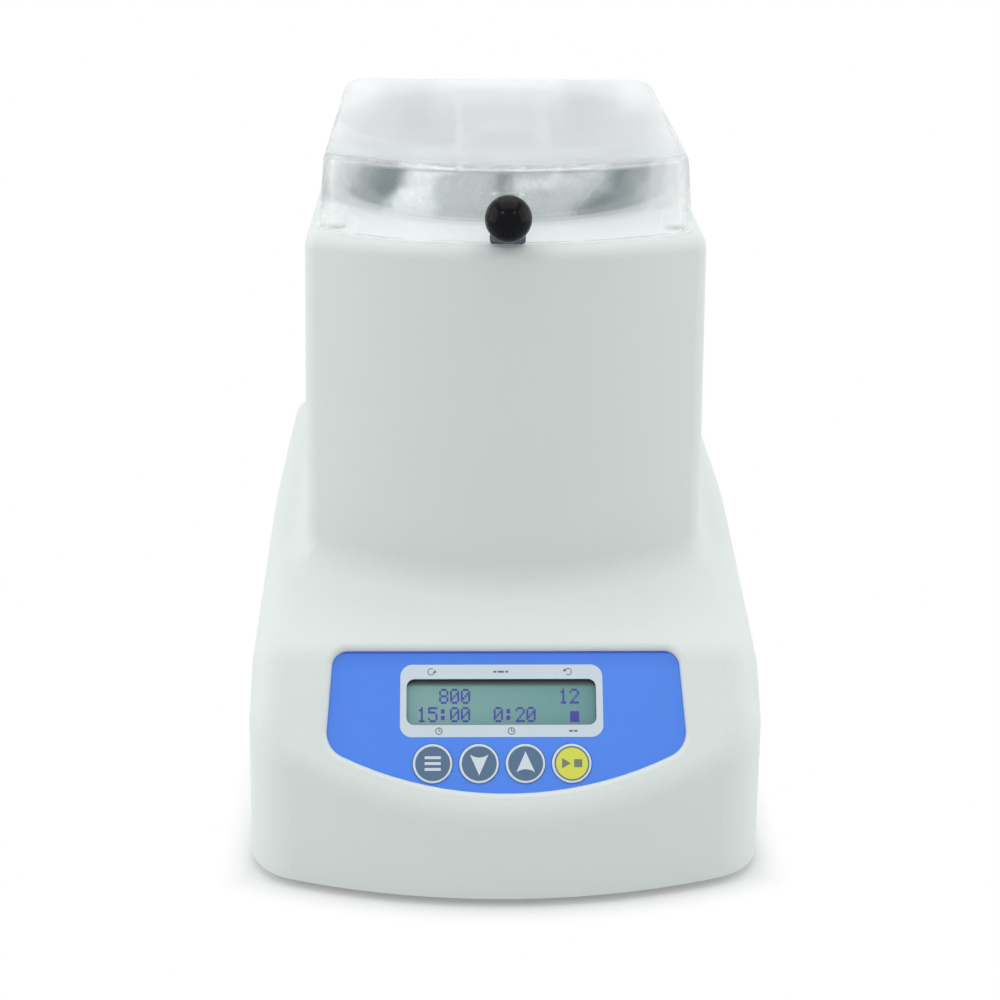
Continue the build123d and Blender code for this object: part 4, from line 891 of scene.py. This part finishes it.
marks = turning(-24.6, MARKS_ABOVE) + turning(20.4, MARKS_ABOVE, start=240)
marks += dashes(-4.2, MARKS_ABOVE, (1.0, 2.0, 1.0))
marks += clock(-22.0, MARKS_BELOW) + clock(1.6, MARKS_BELOW)
marks += dashes(20.4, MARKS_BELOW, (1.1, 1.1))
printed("display_marks", marks, FOIL_FACE, ink("mark_ink", (0.11, 0.15, 0.16)), "base",
        MARK_LIFT_MM)

# %% [markdown]
# ## Studio
#
# The photograph has a seamless white ground, with only a narrow soft shadow around the foot of the
# housing. Enough light to burn the ground out would burn the housing out too. So the ground is
# matt white paper that takes the real shadow, and beyond a narrow band around the footprint, the
# camera sees a plain white glow instead. Mirror and glass rays see it too, so metal and the lid
# reflect the same white. From below, the paper isn't there, and the underside can be looked at.

# %% Ground
FRONT_BOW = 218 * MM       # radius of the housing's front
SHADOW_BAND = 10 * MM      # the ground only glows beyond this
GLOW_AT_FOOT = 0.22        # share of the glow right beside the housing
PAPER, PAPER_DARK = (0.88, 0.88, 0.88), (0.87, 0.87, 0.87)
WHITE = (1.0, 1.0, 1.0)


def seen_directly(network):
    """1 for the camera, and for what it sees in a mirror or through glass."""
    path = network.node("LightPath")
    mirrored = path.out("Is Glossy Ray").math("MAXIMUM", path.out("Is Transmission Ray"))
    return mirrored.math("MAXIMUM", path.out("Is Camera Ray"))


def seamless():
    finish = Finish("seamless_white")
    low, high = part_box("housing")
    beside = finish.along("X").math("ABSOLUTE") - high.x
    before = behind_bow(finish, low.y, FRONT_BOW) * -1
    behind = finish.along("Y") - high.y
    outside = beside.math("MAXIMUM", before).math("MAXIMUM", behind)
    clean = finish.ramp(outside, 0.0, SHADOW_BAND, low=GLOW_AT_FOOT)
    paper = matt(finish, finish.blend(finish.noise(60, detail=1.0), PAPER, PAPER_DARK))
    glow = finish.node("Emission", {"Color": WHITE, "Strength": 1.0})
    sheet = finish.mix(seen_directly(finish) * clean, paper, glow)
    from_below = finish.node("NewGeometry").out("Backfacing")
    return finish.finished(finish.mix(from_below, sheet, nothing(finish)))


ground_mesh = bpy.data.meshes.new("ground")
grid = bmesh.new()
bmesh.ops.create_grid(grid, x_segments=4, y_segments=4, size=4.0)
grid.to_mesh(ground_mesh)
grid.free()
ground_mesh.materials.append(seamless())
ground = add("ground", ground_mesh)
print("ground of", len(ground_mesh.polygons), "faces")

# %% [markdown]
# The room around the object is a little green, which gives the housing its cool cast. Only light
# that falls on the object comes from it. Seen directly, the world is plain white, like the ground.

# %% World
ROOM, ROOM_STRENGTH = (0.93, 1.0, 0.98), 0.40

studio = Network("studio", "World")
room = studio.node("Background", {"Color": ROOM, "Strength": ROOM_STRENGTH})
backdrop = studio.node("Background", {"Color": WHITE, "Strength": 1.0})
world = studio.finished(studio.mix(seen_directly(studio), room, backdrop))
bpy.context.scene.world = world
print("world", world.name)

# %% [markdown]
# The light is very soft: a broad bank overhead and one on each side, and little from the front,
# which is why the upright front is a step darker than the slopes. Two small lamps in front only
# give the knob and the metal their small highlights. The Standard view transform shows each colour
# about as it is written.

# %% Light banks
AIM = Vector((0, 0, 0.12))
OVERHEAD_WHITE = (1.0, 0.985, 0.99)


def bank(name, at, size, power, colour=WHITE):
    """A square area light aimed at the middle of the object."""
    light = bpy.data.lights.new(name, "AREA")
    light.size, light.energy, light.color = size, power, colour
    lamp = add(name, light)
    lamp.location = at
    lamp.rotation_euler = (AIM - Vector(at)).to_track_quat("-Z", "Y").to_euler()
    print(name, power, "W")


bank("overhead_bank", (0.0, 0.15, 1.5), 1.6, 13.0, OVERHEAD_WHITE)
bank("left_bank", (-1.25, -0.10, 0.55), 1.2, 7.4)
bank("right_bank", (1.25, -0.10, 0.55), 1.2, 6.6)
bank("left_glint", (-0.55, -0.75, 0.95), 0.16, 0.9)
bank("right_glint", (0.50, -0.75, 0.95), 0.16, 0.7)
bpy.context.scene.view_settings.view_transform = "Standard"
